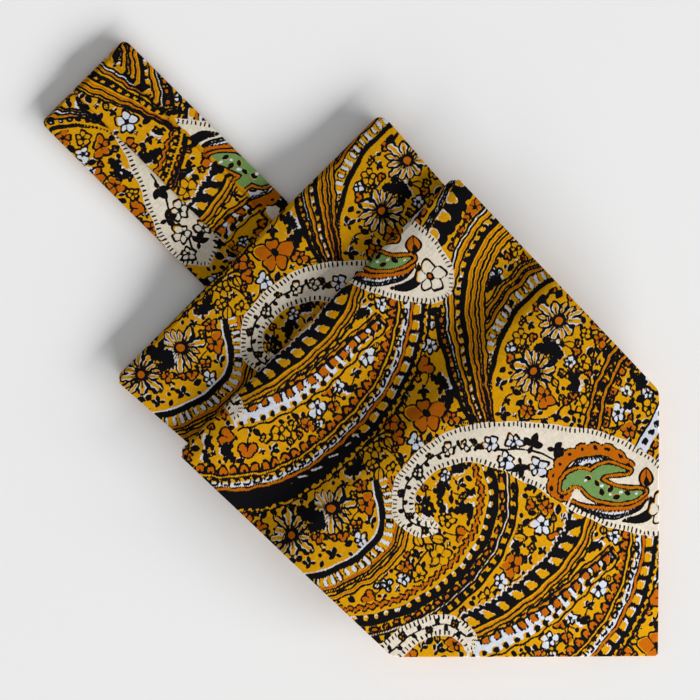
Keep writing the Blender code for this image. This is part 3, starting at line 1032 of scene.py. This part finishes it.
def blob_band(cloth):
    """Thick dark band with a frayed pale edge and a row of yellow blobs, over fine orange lines."""
    knots = [(-47, 266.5), (-38, 270.3), (-28, 272.6), (-15, 274.4)]
    knots += [(-3, 274.6), (8, 272.8), (17, 268.5), (26, 262)]
    band = Ribbon(cloth, knots, 16)
    band.fill(None, -9.0, 3.6)
    band.scallops("white", 0.0, 3.5, 1.2, 2.8, seed=11)
    band.scallops("black", -4.0, 2.8, 1.2, 2.8, seed=11)
    lean = band.cells(7.0, 12, 0.08)[0] + 0.45 * (band.across + 0.5)
    for ink, at, tall, wide in (("white", -0.3, 2.1, 1.75), (None, -0.8, 2.0, 1.55)):
        blob = wide - 0.28 * np.maximum(band.across - at, 0) - np.abs(lean)
        band.put(ink, np.minimum(blob, tall - np.abs(band.across - at)) - 0.12 * np.sin(3 * band.along))
    band.rules((-5.7, -7.4), ((-4.9, 0.4), (-6.6, 0.4)))
    band.line("black", -8.7, LINE, 0.3, 5)


def comb_band(cloth):
    """White band with orange teeth along its top and dark dots along its foot, thinner to the right."""
    knots = [(-54, 275), (-47, 279), (-40, 282.6), (-31, 285.8)]
    knots += [(-20, 288.4), (-8, 289.4), (5, 289.4), (18, 290.5)]
    band = Ribbon(cloth, knots, 12)
    half = 4.5 - 2.6 * band.share
    band.fill(None, -half - 2.4, half + 2.8)
    band.fill("white", -half, half)
    band.blocks("orange", half - 1.6, 2.2, 5.6, 1.75, seed=14)
    band.dots(None, -half + 1.1, 1.25, 4.6, seed=15, phase=0.1, over=True)
    band.dots("black", -half + 0.7, 1.2, 4.6, seed=15)
    band.rules((half, half + 1.9), ((half + 1.0, 0.5),))
    band.line("black", -half - 1.5, LINE, 0.35, 8)


def blossom_arc(cloth):
    """The long arc: orange domes, double line, pale boxes, orange line, and the heavy dark band."""
    knots = [(-98, 262), (-88, 276), (-80, 286), (-70, 296)]
    knots += [(-58, 303.8), (-45, 308.3), (-30, 310.3), (-12, 310)]
    band = Ribbon(cloth, knots + [(3, 306.8), (15, 301.3), (24, 295.3), (33, 288)], 17)
    heavy = 5.0 + 2.6 * np.exp(-(((band.share - 0.32) / 0.16) ** 2))
    band.fill(None, -5.0 - heavy, 7.2)
    cell, _ = band.cells(4.8, 21)
    dome = np.minimum(2.0 - np.hypot(cell, (band.across - 3.9) * 0.7), band.across - 3.0)
    band.put("orange", dome, False)
    cloth.outline(band.where, np.minimum(dome, band.within))
    band.put("black", 0.5 - np.hypot(cell, band.across - 3.9), False)
    band.rules((2.9, 1.5, -2.5), half=FINE)
    band.fill("white", -2.2, -0.4)
    band.blocks(None, -0.35, 1.0, 4.4, 1.35, seed=22)
    band.put("white", np.minimum(band.strip(-1.3, -0.4), 0.9 - np.abs(band.cells(4.4, 22)[0])), False)
    band.rules((-4.2,), ((-3.4, 0.95),))
    wave = 0.5 * np.sin(band.along * 2.1) + 0.35 * np.sin(band.along * 4.7)
    band.put("black", band.strip(-4.5 - heavy + wave, -4.4), False)
    tooth = band.cells(5.6, 25)[0]
    late = (band.share - 0.6) * 40
    for ink, moved in (("white", 0.45), (None, 0.0)):
        bite = np.minimum(1.7 - np.abs(tooth - moved), 1.3 - np.abs(band.across + 5.5 + moved))
        band.put(ink, np.minimum(bite, late))
    dash, index = band.cells(6.5, 23, 0.4)
    dash_half = 1.5 + 1.6 * scattered(index, 24)
    glint = np.minimum(dash_half - np.abs(dash), 0.42 - np.abs(band.across + 5.5 + 0.3 * dash))
    band.put("white", np.minimum(glint, np.minimum(band.share - 0.4, 0.6 - band.share) * 40))
    band.line("black", -5.9 - heavy, LINE, 0.4, 5.5)


def beaded_band(cloth):
    """Two orange lines with beads between them and blossoms below, right of the main paisley."""
    band = Ribbon(cloth, [(36, 256), (44, 249.6), (53, 243.4), (64, 237.4), (76, 234), (94, 232)], 12)
    band.fill(None, -7.2, 3.4)
    for at in (2.3, -2.5):
        band.rules((at + 0.85, at - 0.85), ((at, 0.5),))
    band.blocks("orange", 0.0, 1.0, 3.5, 1.1, seed=31)
    band.blocks("orange", -5.2, 1.4, 4.8, 1.6, seed=33)
    band.dots("black", -5.0, 0.6, 4.8, seed=33)


def stripe_bundle(cloth):
    """The sheaf of stripes that springs from the main paisley's back and bends to the right."""
    knots = [(15, 221), (18.5, 211), (25, 199.5), (33, 188)]
    knots += [(41, 177.5), (50, 169), (60, 163.3), (71, 160), (97, 158)]
    band = Ribbon(cloth, knots, 17)
    fan = 0.32 + 0.68 * np.clip(band.along / 48, 0, 1) ** 0.8
    band.fill(None, -10.8 * fan, np.where(band.along < 52, 10.8, 6.9) * fan)
    early = np.minimum((52 - band.along) * 0.5, 2.0)
    band.put("black", np.minimum(1.0 - np.abs(band.across - 9.6 * fan), early), False)
    cell, _ = band.cells(4.0, 41)
    tooth = np.minimum(1.3 * fan - np.abs(cell), 1.1 * fan - np.abs(band.across - 7.8 * fan))
    tooth = np.minimum(tooth, early)
    band.put("orange", tooth, False)
    cloth.outline(band.where, tooth)
    black = (6.2, 4.8, 2.3, -4.4, -6.6, -8.0, -10.3)
    orange = ((3.3, 0.45), (-3.3, 0.5), (-5.6, 0.45), (-9.2, 0.45))
    band.rules(black, orange, ((5.5, 0.24),), pitch=5, scale=fan)
    band.fill("black", -2.4 * fan, 1.5 * fan)
    cell, _ = band.cells(3.9, 42)
    high = 0.7 * fan + 0.1 - np.abs(band.across - 0.7 * fan)
    band.put("white", np.minimum(1.0 - np.abs(cell), high))
    band.put(None, np.minimum(0.75 - np.abs(cell - 0.3), high - 0.15))


def right_bowl(cloth):
    """Heavy dark curve over the right daisies, with pale arches and fine lines above it."""
    knots = [(17, 220.5), (24, 212), (32.5, 203.8), (42, 197.6)]
    knots += [(52, 193.8), (63, 191.8), (75, 192.6), (94, 198)]
    band = Ribbon(cloth, knots, 15)
    fan = np.clip(band.along / 30, 0.25, 1)
    band.fill(None, -3.0 * fan, 12.5 * fan)
    band.fill("black", -1.1 * np.clip(fan, 0.6, 1), 1.1)
    band.arches(1.2, 5.2, 3.1, 0.95)
    black = (5.7, 7.6, 8.7, 10.5, 11.8)
    band.rules(black, ((6.7, 0.6), (9.6, 0.5)), wave=0.4, pitch=9, scale=fan)


def heart_band(cloth):
    """Fine lines over a dark band with yellow hearts, at the right edge."""
    band = Ribbon(cloth, [(44, 280), (53, 277.8), (63, 275.2), (73, 271.8), (94, 264)], 14)
    band.fill(None, -10.5, 2.5)
    band.rules((1.7, 0.5, -0.7), white=((1.1, 0.25), (-0.1, 0.25)))
    band.scallops("black", -8.6, -1.4, -1.6, 5.0, seed=51)
    cell, _ = band.cells(8.2, 52, 0.15)
    heart = 2.1 - np.hypot(cell * 1.05, band.across + 3.9 - 0.55 * np.abs(cell))
    band.put("white", heart + 0.4)
    band.put(None, heart)
    lower = Ribbon(cloth, [(50, 300), (60, 293), (70, 289.3), (94, 285)], 6)
    lower.scallops("black", -1.0, 1.2, -1.6, 3.6, seed=53)


def dotted_band(cloth):
    """Short white band with dark dots, over orange blocks."""
    band = Ribbon(cloth, [(48, 269.6), (58, 267.3), (68, 264.6), (94, 256)], 9)
    band.fill(None, -5.8, 3.4)
    band.fill("white", -2.4, 2.8)
    band.line("black", 2.9)
    band.dots("black", 0.1, 1.5, 4.4, seed=55)
    band.blocks("orange", -4.1, 1.2, 4.6, 1.6, seed=56)


def small_curves(cloth):
    """Thin drawn lines between the flowers."""
    for knots in (
        [(-25, 321), (-19.5, 326), (-18.3, 333), (-19.5, 339)],
        [(-23, 320), (-13.5, 324), (-10, 331), (-9, 338)],
        [(22, 221), (30, 226), (37, 231.5), (45, 233), (53, 231), (59, 226.5)]
        + [(66, 228), (74, 225), (94, 227)],
        [(24, 217.5), (31, 214), (37, 216), (42, 212)],
        [(47, 241), (52, 238.5), (60, 236), (66, 229), (80, 227.5)],
        [(-27, 238), (-30, 234), (-36, 235.5), (-45, 236.5)],
        [(-25, 282.5), (-16, 283.5), (-6, 283.6), (4, 283), (14, 280.5)],
    ):
        stroke(cloth, knots)


BANDS = (
    left_bowl, beaded_band, dotted_band, heart_band, right_bowl, stripe_bundle, blossom_arc, comb_band,
    curl_sweep, blob_band, side_paisley, main_paisley,
)


def draw_bands(cloth, shifts):
    for band in BANDS:
        for shift in shifts:
            band(cloth.moved(shift))


def strew(low, high, features, draw, seed):
    """Flowers and leaves packed by chance over what the bands leave free between two corners."""
    chance = np.random.default_rng(seed)
    spots = list(features)
    places = np.array([row[:3] for row in features], float)
    amount = (high[0] - low[0]) * (high[1] - low[1]) / (2 * FIELD_HALF * REPEAT)
    for size, tries, crowd, kinds in STREWN:
        tries = round(tries * amount)
        x = chance.uniform(low[0], high[0], tries)
        s = chance.uniform(low[1], high[1], tries)
        radii = size * chance.uniform(*SIZE_SPREAD, tries)
        picks = chance.integers(len(kinds), size=tries)
        turns = chance.uniform(0, 360, tries)
        cloth = Cloth(x, s)
        draw(cloth)
        cover = np.empty(tries)
        cover[cloth.order] = cloth.cover
        for i in np.nonzero(cover < -FREE_EDGE * radii)[0]:
            apart = np.abs(places[:, 1] - s[i])
            gap = np.hypot(places[:, 0] - x[i], np.minimum(apart, REPEAT - apart))
            if np.all(gap > crowd * (places[:, 2] + radii[i])):
                places = np.vstack([places, (x[i], s[i], radii[i])])
                spots.append((x[i], s[i], radii[i], kinds[picks[i]], turns[i]))
    return spots


def stems_between(spots):
    """A thin bent stem from each flower towards one that is near."""
    places = np.array([row[:2] for row in spots])
    stems = []
    for place, row in zip(places, spots):
        if row[3] in ("rose", "pale", "plain", "clover"):
            order = np.argsort(np.hypot(*(places - place).T))
            far = places[order[4]]
            way = far - place
            bend = STEM_BEND * scattered(row[4], 3) * np.array([-way[1], way[0]])
            stems.append((place, place + way * 0.5 + bend, far))
    return stems


SHIFTS = (-REPEAT, 0.0, REPEAT)


def repeat_bands(cloth):
    draw_bands(cloth, SHIFTS)


FIELD_LOW, FIELD_HIGH = (-FIELD_HALF, FIELD_START), (FIELD_HALF, FIELD_START + REPEAT)
FIELD = strew(FIELD_LOW, FIELD_HIGH, FEATURES, repeat_bands, FIELD_SEED)
STEMS = stems_between(FIELD)


def draw_spots(cloth, spots):
    for spot in spots:
        motif(cloth, *spot)


def draw_print(cloth):
    """The whole print at each repeat along the cloth: fields first, then the bands."""
    for shift in SHIFTS:
        moved = cloth.moved(shift)
        small_curves(moved)
        for stem in STEMS:
            stroke(moved, stem, STEM)
        draw_spots(moved, FIELD)
    repeat_bands(cloth)


# The neckband's own stretches of the print, in its own x and s
NECK_PAISLEY = (
    # (x, s, half width): a drop whose right side runs under the pleat
    (-3.5, 16.0, 1.2),
    (-4.6, 30.0, 3.4),
    (-7.0, 46.0, 6.4),
    (-10.5, 61.0, 9.6),
    (-13.0, 75.0, 11.6),
    (-15.5, 85.5, 8.6),
)
NECK_FEATURES = (
    # (x, s, radius, kind, turn)
    (-13.6, 24.5, 4.2, "rose", 15),
    (-21.5, 21.5, 3.2, "pale", 40),
    (-21.0, 39.5, 4.0, "rose", 70),
    (-15.5, 34.5, 3.4, "spray", 110),
    (-22.0, 52.0, 3.6, "clover", 30),
    (-10.5, 99.0, 3.8, "rose", 0),
)
MIDDLE_FEATURES = (
    # (x, s, radius, kind, turn)
    (0.5, 25.0, 4.4, "pale", 20),
    (-1.5, 62.0, 4.6, "plain", 0),
)
NECK_LOW, NECK_HIGH = (-26.0, -5.0), (26.0, 114.0)
MIDDLE_LOWER = 205.0


def end_stripes(cloth):
    """A sheaf of stripes that leaves the folded end at the band's left corner."""
    band = Ribbon(cloth, [(-30, 1.5), (-22, 5.5), (-15, 11), (-9.5, 18), (-6, 26)], 10)
    fan = np.clip(1.2 - band.along / 40, 0.3, 1)
    band.fill(None, -1.6 * fan, 9.0 * fan)
    band.fill("black", -1.1 * fan, 1.1 * fan)
    band.blocks("white", 2.6, 0.7, 3.4, 0.8, seed=61)
    band.rules((4.0, 5.9, 7.3, 8.6), ((5.0, 0.4),), ((6.6, 0.25),), pitch=5, scale=fan)


def neck_drop(cloth):
    paisley_ground(cloth, NECK_PAISLEY)
    stroke(cloth, [(-7.5, 47), (-9, 56), (-13, 64), (-14, 74), (-18, 83)], LINE)
    flowers = ((-9.6, 66, 4.2, 10), (-15.5, 73, 3.8, 50), (-19.5, 80.5, 3.0, 20), (-7.5, 77.5, 3.4, 70))
    each(blossom, cloth, flowers, ink="cream")
    leaves = ((-9, 53.5, 5.2, 100), (-15.8, 64.5, 4.6, 20), (-13, 80.5, 4.6, -30), (-7.6, 86, 3.6, 60))
    each(sprig, cloth, leaves, glint=False)


def middle_stripes(cloth):
    """Stripes from the folded end down the middle panel's right side."""
    band = Ribbon(cloth, [(3, -6), (6, 6), (9.5, 17), (12.5, 28), (15, 40)], 10)
    fan = np.clip(1.15 - band.along / 60, 0.3, 1)
    band.fill(None, -8.6 * fan, 7.5 * fan)
    band.fill("black", -2.2 * fan, 1.8 * fan)
    band.blocks(None, -0.4, 0.7, 3.6, 0.9, False, seed=63)
    black = (3.1, 4.9, 6.4, -4.6, -6.9, -8.2)
    orange = ((4.0, 0.5), (-3.4, 0.6), (-5.8, 0.5))
    band.rules(black, orange, ((5.6, 0.3),), wave=0.25, scale=fan)


def spokes_fan(cloth):
    """Ribbed bands that gather towards the middle panel's right side."""
    band = Ribbon(cloth, [(-9, 53.5), (-2, 51.5), (6, 47.5), (17, 41)], 8)
    half = 0.55 + 0.45 * (1 - band.share)
    band.fill(None, -5.6 * half, 6.4 * half)
    band.rules((6.2, 3.9), ((5.0, 0.9),), wave=0.4, pitch=4.5, scale=half)
    band.fill("black", -0.4, 3.0 * half)
    band.blocks(None, 1.3, 0.55, 3.2, 0.75, False, seed=65)
    band.blocks("orange", -2.4, 0.8, 3.2, 1.1, seed=66)
    band.rules((-4.1, -5.4), ((-4.8, 0.35),), wave=0.2, pitch=5, scale=half)


def left_bands(cloth):
    end_stripes(cloth)
    neck_drop(cloth)


def middle_bands(cloth):
    lower = cloth.moved(-MIDDLE_LOWER)
    for band in (blossom_arc, comb_band, blob_band):
        band(lower)
    spokes_fan(cloth)
    middle_stripes(cloth)


def neck_panel(features, bands, seed):
    """Draws one of the neckband's own panels: a strewn field, and then its bands."""
    field = strew(NECK_LOW, NECK_HIGH, features, bands, seed)

    def draw(cloth):
        draw_spots(cloth, field)
        bands(cloth)

    return draw


draw_left_panel = neck_panel(NECK_FEATURES, left_bands, LEFT_SEED)
draw_middle_panel = neck_panel(MIDDLE_FEATURES, middle_bands, MIDDLE_SEED)


def neck_section():
    """Outline of one pleated ply as rows of x, height and the bend's reach, and its outer rows' count."""
    low_reach = GAP / 2 + SIDE_PLY
    high_reach = GAP / 2 + PLEATED_PLY
    under_lip = SIDE_PLY + TUCK_GAP
    nose = (under_lip + PLEATED_PLY) / 2
    lip_radius = (PLEATED_PLY - under_lip) / 2
    shoulder = NECK_HALF - EDGE_ROUND

    def span(x0, x1, height, reach0, reach1):
        xs = even(x0, x1, NECK_COLUMN)
        return [(x, height, r) for x, r in zip(xs, np.linspace(reach0, reach1, len(xs)))]

    def pleat(edge, inward):
        rows = span(edge - inward * PUCKER, edge, SIDE_PLY, low_reach, high_reach)
        rows += [(edge + inward * PLEAT_TUCK, SIDE_PLY, high_reach)]
        rows += [(edge + inward * PLEAT_TUCK, under_lip, high_reach)]
        for i in range(LIP_POINTS):
            angle = math.pi * i / (LIP_POINTS - 1)
            x = edge + inward * PLEAT_LIP * (1 - math.sin(angle))
            rows.append((x, nose - lip_radius * math.cos(angle), high_reach))
        return rows

    def corner(sign, share):
        return [(sign * (NECK_HALF - EDGE_ROUND * CORNER_IN), SIDE_PLY * share, low_reach)]

    left = [(-NECK_HALF, SIDE_PLY / 2, low_reach)] + corner(-1, CORNER_HIGH)
    left += span(-shoulder, PLEAT_LEFT - PUCKER - NECK_COLUMN, SIDE_PLY, low_reach, low_reach)
    left += pleat(PLEAT_LEFT, 1)
    lip = 2 * PLEAT_LIP
    middle = span(PLEAT_LEFT + lip, PLEAT_RIGHT - lip, PLEATED_PLY, high_reach, high_reach)
    right = pleat(PLEAT_RIGHT, -1)[::-1]
    right += span(PLEAT_RIGHT + PUCKER + NECK_COLUMN, shoulder, SIDE_PLY, low_reach, low_reach)
    right += corner(1, CORNER_HIGH) + [(NECK_HALF, SIDE_PLY / 2, low_reach)]
    inner = corner(1, CORNER_LOW) + [(shoulder, 0.0, low_reach)]
    inner += [(PLEAT_RIGHT + PUCKER, 0.0, low_reach), (PLEAT_RIGHT, 0.0, high_reach)]
    inner += [((PLEAT_LEFT + PLEAT_RIGHT) / 2, 0.0, high_reach), (PLEAT_LEFT, 0.0, high_reach)]
    inner += [(PLEAT_LEFT - PUCKER, 0.0, low_reach), (-shoulder, 0.0, low_reach)]
    inner += corner(-1, CORNER_LOW)
    return left + middle + right + inner, len(left) + len(middle) + len(right)


def neckband():
    """The pleated band: lower ply, round bend at the folded end, upper ply."""
    section, outer_count = neck_section()
    x, height, reach = np.array(section).T
    outer = np.arange(len(section)) < outer_count
    mesh = Mesh()
    rings = []
    centre_height = PLEATED_PLY + GAP / 2

    def ring(s, z, cloth_s):
        near = np.clip((CORNER_END - s) / (CORNER_END - CORNER_START), 0, 1)
        drawn = s + corner_draw(x, NECK_HALF) * near
        rings.append(mesh.add(x, drawn, z, np.where(outer, x, np.nan), np.where(outer, cloth_s, np.nan)))

    plies = even(PLY_START, NECK_END, NECK_COLUMN)
    for s in plies[::-1]:
        ring(s, PLEATED_PLY - height, -s)
    for i in range(BEND_STEPS + 1):
        angle = math.pi * (1.5 - i / BEND_STEPS)
        radius = GAP / 2 + height
        s = reach + radius * math.cos(angle)
        cloth_s = PLY_START - BEND_PRINT_START - (angle - math.pi / 2) * BEND_PRINT_RADIUS
        ring(s, centre_height + radius * math.sin(angle), cloth_s)
    for s in plies:
        ring(s, PLEATED_PLY + GAP + height, s)
    mesh.tube(rings)
    return mesh.make("neckband_cloth", paint_neckband)


def hidden_layers():
    """The returns, flares and second point as one solid whose sides show each layer's round edge."""
    top_share = np.linspace(-1, 1, TOP_COLUMNS)
    under_share = np.linspace(1, -1, UNDERSIDE_COLUMNS)
    hidden_end = TIP_CORNER - HIDDEN_TIP_BACK - HIDDEN_TIP_RADIUS * (math.sqrt(2) - TIP_FINISH)
    turn = TIP_CORNER - HIDDEN_TIP_BACK - HIDDEN_TIP_RADIUS * math.sqrt(0.5)
    stations = [
        even(HIDDEN_START, SECOND_RETURN_END + HIDDEN_STEP, HIDDEN_ROW),
        even(SECOND_RETURN_END + 2 * HIDDEN_STEP, SECOND_PANEL_END + HIDDEN_STEP, HIDDEN_ROW),
        even(SECOND_PANEL_END + 2 * HIDDEN_STEP, turn, HIDDEN_ROW),
        even(turn, hidden_end, TURN_ROW)[1:],
    ]
    mesh = Mesh()
    rings = []
    for s in np.concatenate(stations):
        half = float(hidden_half(s))
        top_half = half - GROOVE
        x = top_share * top_half
        top = hidden_top(s) - sink(x, s)
        side_top = float(top[-1])
        right = []
        for layer in range(LAYERS, 0, -1):
            for i in range(LAYER_POINTS):
                angle = math.pi * (i + 0.5) / LAYER_POINTS
                depth = GROOVE * (1 - math.sin(angle))
                z = side_top * (layer - 0.5 + 0.5 * math.cos(angle)) / LAYERS
                printed = EDGE_PRINT_STEP * i + LAYER_PRINT_STEP * (layer - LAYERS / 2)
                right.append((half - depth, z, printed))
        side_x, side_z, cloth_x = np.array(right).T
        under = under_share * top_half
        ring = mesh.add(x, s, top)
        ring += mesh.add(side_x, s, side_z, cloth_x, s)
        ring += mesh.add(under, s, 0.0, -under, s)
        ring += mesh.add(-side_x[::-1], s, side_z[::-1], -cloth_x[::-1], s)
        rings.append(ring)
    mesh.tube(rings)
    return mesh.make("hidden_layers_cloth", painter(*HIDDEN_PRINT))


# How unsteady the hand that drew the print was
SWAY = 0.25
QUIVER = 0.12


def paint_with(draw, shown, x, s, inks):
    """The drawn print at places on the cloth, a little unsteady as by hand."""
    unsteady_x = SWAY * np.sin(s * 0.5) + QUIVER * np.sin(x * 1.1 + 2)
    unsteady_s = SWAY * np.sin(x * 0.45) + QUIVER * np.sin(s * 1.2 + 1)
    cloth = Cloth(x + unsteady_x, s + unsteady_s)
    draw(cloth)
    for ink in INKS:
        inks[ink][shown[cloth.order]] = cloth.inks[ink]


# Where each piece was cut from the printed cloth, as what is added to its x and s
FRONT_PRINT = (0.0, 0.0)
SECOND_PRINT = (-2.7, 90.0)
HIDDEN_PRINT = (31.0, 60.0)
NECK_RIGHT_PRINT = (53.0, 204.0)


def painter(move_x, move_s):
    """Paints a piece with the whole print from where it was cut."""

    def paint(shown, cloth, inks):
        paint_with(draw_print, shown, cloth[:, 0] + move_x, cloth[:, 1] + move_s, inks)

    return paint


def paint_neckband(shown, cloth, inks):
    """The band's three panels, each with its own stretch of the print. The right one is turned round."""
    x, s = cloth.T
    turn_x, turn_s = NECK_RIGHT_PRINT
    for panel, draw, px, ps in (
        (x < PLEAT_LEFT, draw_left_panel, x, s),
        ((x >= PLEAT_LEFT) & (x <= PLEAT_RIGHT), draw_middle_panel, x, s),
        (x > PLEAT_RIGHT, draw_print, turn_x - x, turn_s - s),
    ):
        paint_with(draw, shown[panel], px[panel], ps[panel], inks)


class Nodes:
    """A material's nodes, added and linked in few words."""

    def __init__(self, name):
        self.material = bpy.data.materials.new(name)
        self.material.use_nodes = True
        self.tree = self.material.node_tree
        self.shader = self.tree.nodes["Principled BSDF"]

    def add(self, kind, inputs=(), **settings):
        node = self.tree.nodes.new(kind)
        for name, value in settings.items():
            setattr(node, name, value)
        for socket, value in dict(inputs).items():
            if isinstance(value, bpy.types.NodeSocket):
                self.tree.links.new(value, node.inputs[socket])
            else:
                node.inputs[socket].default_value = value
        return node

    def math(self, operation, *values):
        return self.add("ShaderNodeMath", dict(enumerate(values)), operation=operation).outputs[0]

    def noise(self, place, scale, detail):
        inputs = {"Vector": place, "Scale": scale, "Detail": detail}
        return self.add("ShaderNodeTexNoise", inputs).outputs[0]

    def mix(self, factor, a, b):
        return self.add("ShaderNodeMix", {0: factor, 6: a, 7: b}, data_type="RGBA").outputs[2]


def srgb(r, g, b):
    def linear(v):
        v /= 255
        return v / 12.92 if v <= 0.04045 else ((v + 0.055) / 1.055) ** 2.4

    return (linear(r), linear(g), linear(b), 1.0)


DYES = {
    "ground": srgb(217, 155, 5),
    "cream": srgb(228, 217, 198),
    "orange": srgb(190, 99, 4),
    "white": srgb(212, 216, 226),
    "green": srgb(112, 148, 84),
    "black": srgb(14, 13, 16),
}


# Cotton: scales of its noises, a metre, and how strongly each bleeds an edge, shades or lifts the cloth
BLEED_SCALE = 900.0
BLEED = 0.35
EDGE_SHARPNESS = 9.0
ORANGE_SHARPNESS = 4.0
PATCH_SCALE = 120.0
PATCH_SHADE = 0.16
YARN_ACROSS = 2400
YARN_ALONG = 420
YARN_SHADE = 0.4
BASE_SHADE = 0.51
THREAD = 0.45 * MM
THREAD_LIFT = 0.5
BUMP_STRENGTH = 0.8
BUMP_DEPTH = 0.2 * MM
FINISH = {"Roughness": 0.85, "Specular IOR Level": 0.03, "Sheen Weight": 0.02, "Sheen Roughness": 0.5}


def printed_cotton(name):
    """Cotton with the print's screens laid on it, their edges a little bled, and a plain weave."""
    nodes = Nodes(name)
    place = nodes.add("ShaderNodeTexCoord").outputs["Object"]
    bleed = nodes.noise(place, BLEED_SCALE, 3.0)
    bleed = nodes.math("MULTIPLY", nodes.math("SUBTRACT", bleed, 0.5), BLEED)
    colour = DYES["ground"]
    for ink in INKS:
        field = nodes.add("ShaderNodeAttribute", attribute_name=ink).outputs["Fac"]
        sharpness = ORANGE_SHARPNESS if ink == "orange" else EDGE_SHARPNESS
        cover = nodes.math("MULTIPLY", nodes.math("ADD", field, bleed), sharpness)
        cover = nodes.add("ShaderNodeClamp", {0: nodes.math("ADD", cover, 0.5)}).outputs[0]
        colour = nodes.mix(cover, colour, DYES[ink])
    patches = nodes.math("MULTIPLY", nodes.noise(place, PATCH_SCALE, 4.0), PATCH_SHADE)
    yarns = []
    for scale in ((YARN_ACROSS, YARN_ALONG, YARN_ALONG), (YARN_ALONG, YARN_ACROSS, YARN_ALONG)):
        stretched = nodes.add("ShaderNodeMapping", {"Vector": place, "Scale": scale}).outputs[0]
        yarns.append(nodes.noise(stretched, 1.0, 1.0))
    weave = nodes.math("ADD", *yarns)
    shade = nodes.math("ADD", patches, nodes.math("MULTIPLY", weave, YARN_SHADE))
    shade = nodes.math("ADD", shade, BASE_SHADE)
    value = nodes.add("ShaderNodeHueSaturation", {"Color": colour, "Value": shade})
    threads = []
    for axis in "XY":
        apart = nodes.add("ShaderNodeSeparateXYZ", {0: place}).outputs[axis]
        threads.append(nodes.math("SINE", nodes.math("MULTIPLY", apart, 2 * math.pi / THREAD)))
    crossing = nodes.math("MULTIPLY", *threads)
    height = nodes.math("ADD", nodes.math("MULTIPLY", crossing, THREAD_LIFT), weave)
    relief = {"Height": height, "Strength": BUMP_STRENGTH, "Distance": BUMP_DEPTH}
    bump = nodes.add("ShaderNodeBump", relief)
    nodes.tree.links.new(bump.outputs[0], nodes.shader.inputs["Normal"])
    nodes.tree.links.new(value.outputs[0], nodes.shader.inputs["Base Color"])
    for socket, value in FINISH.items():
        nodes.shader.inputs[socket].default_value = value
    return nodes.material


def declare(piece, node, material):
    piece.data.materials.append(material)
    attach(piece, "root")
    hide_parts(node)


# Studio, in metres: a wide low key light in front of the blade's point, even light from all round,
# and a camera straight above, turned by an eighth, as far off as makes the picture almost flat
KEY_ELEVATION = math.radians(16)
KEY_DISTANCE = 12.0
KEY_SIZE = (18.0, 3.0)
KEY_POWER = 4000
EVEN_LIGHT = 0.34
CAMERA_DISTANCE = 2.5
SENSOR = 36.0
FRAME_WIDTH = 0.287
LOOK_AT = (-0.00057, 0.01075)
FLOOR_HALF = 8
FLOOR_COLOUR = (0.9, 0.9, 0.9, 1)


def key_light():
    data = bpy.data.lights.new("key", "AREA")
    data.shape, data.size, data.size_y = "RECTANGLE", *KEY_SIZE
    data.energy = KEY_POWER
    light = bpy.data.objects.new("key", data)
    bpy.context.scene.collection.objects.link(light)
    light.location = (0, -KEY_DISTANCE * math.cos(KEY_ELEVATION), KEY_DISTANCE * math.sin(KEY_ELEVATION))
    light.rotation_euler = (math.pi / 2 - KEY_ELEVATION, 0, 0)


def camera():
    data = bpy.data.cameras.new("camera")
    data.sensor_width = SENSOR
    data.lens = SENSOR * CAMERA_DISTANCE / FRAME_WIDTH
    piece = bpy.data.objects.new("camera", data)
    h = math.sqrt(0.5)
    x, y = LOOK_AT
    piece.matrix_world = Matrix(((h, h, 0, x), (-h, h, 0, y), (0, 0, 1, CAMERA_DISTANCE), (0, 0, 0, 1)))
    data.clip_end = 100
    bpy.context.scene.collection.objects.link(piece)
    bpy.context.scene.camera = piece


def floor():
    mesh = bpy.data.meshes.new("floor")
    h = FLOOR_HALF
    mesh.from_pydata([(-h, -h, 0), (h, -h, 0), (h, h, 0), (-h, h, 0)], [], [(0, 1, 2, 3)])
    piece = bpy.data.objects.new("floor", mesh)
    bpy.context.scene.collection.objects.link(piece)
    nodes = Nodes("pale_floor")
    nodes.shader.inputs["Base Color"].default_value = FLOOR_COLOUR
    nodes.shader.inputs["Roughness"].default_value = 0.9
    mesh.materials.append(nodes.material)


def even_light():
    scene_world = bpy.data.worlds.new("studio")
    bpy.context.scene.world = scene_world
    scene_world.use_nodes = True
    background = scene_world.node_tree.nodes["Background"]
    background.inputs[0].default_value = (1, 1, 1, 1)
    background.inputs[1].default_value = EVEN_LIGHT


cotton = printed_cotton("printed_cotton")
front = blade(front_rows(), "front_blade_cloth", painter(*FRONT_PRINT))
second = blade(second_rows(), "second_blade_cloth", painter(*SECOND_PRINT))
band = neckband()
hidden = hidden_layers()
declare(front, "front_blade", cotton)
declare(second, "second_blade", cotton)
declare(band, "neckband", cotton)
declare(hidden, "hidden_layers", cotton)
floor()
camera()
even_light()
key_light()
bpy.context.scene.view_settings.view_transform = "Standard"
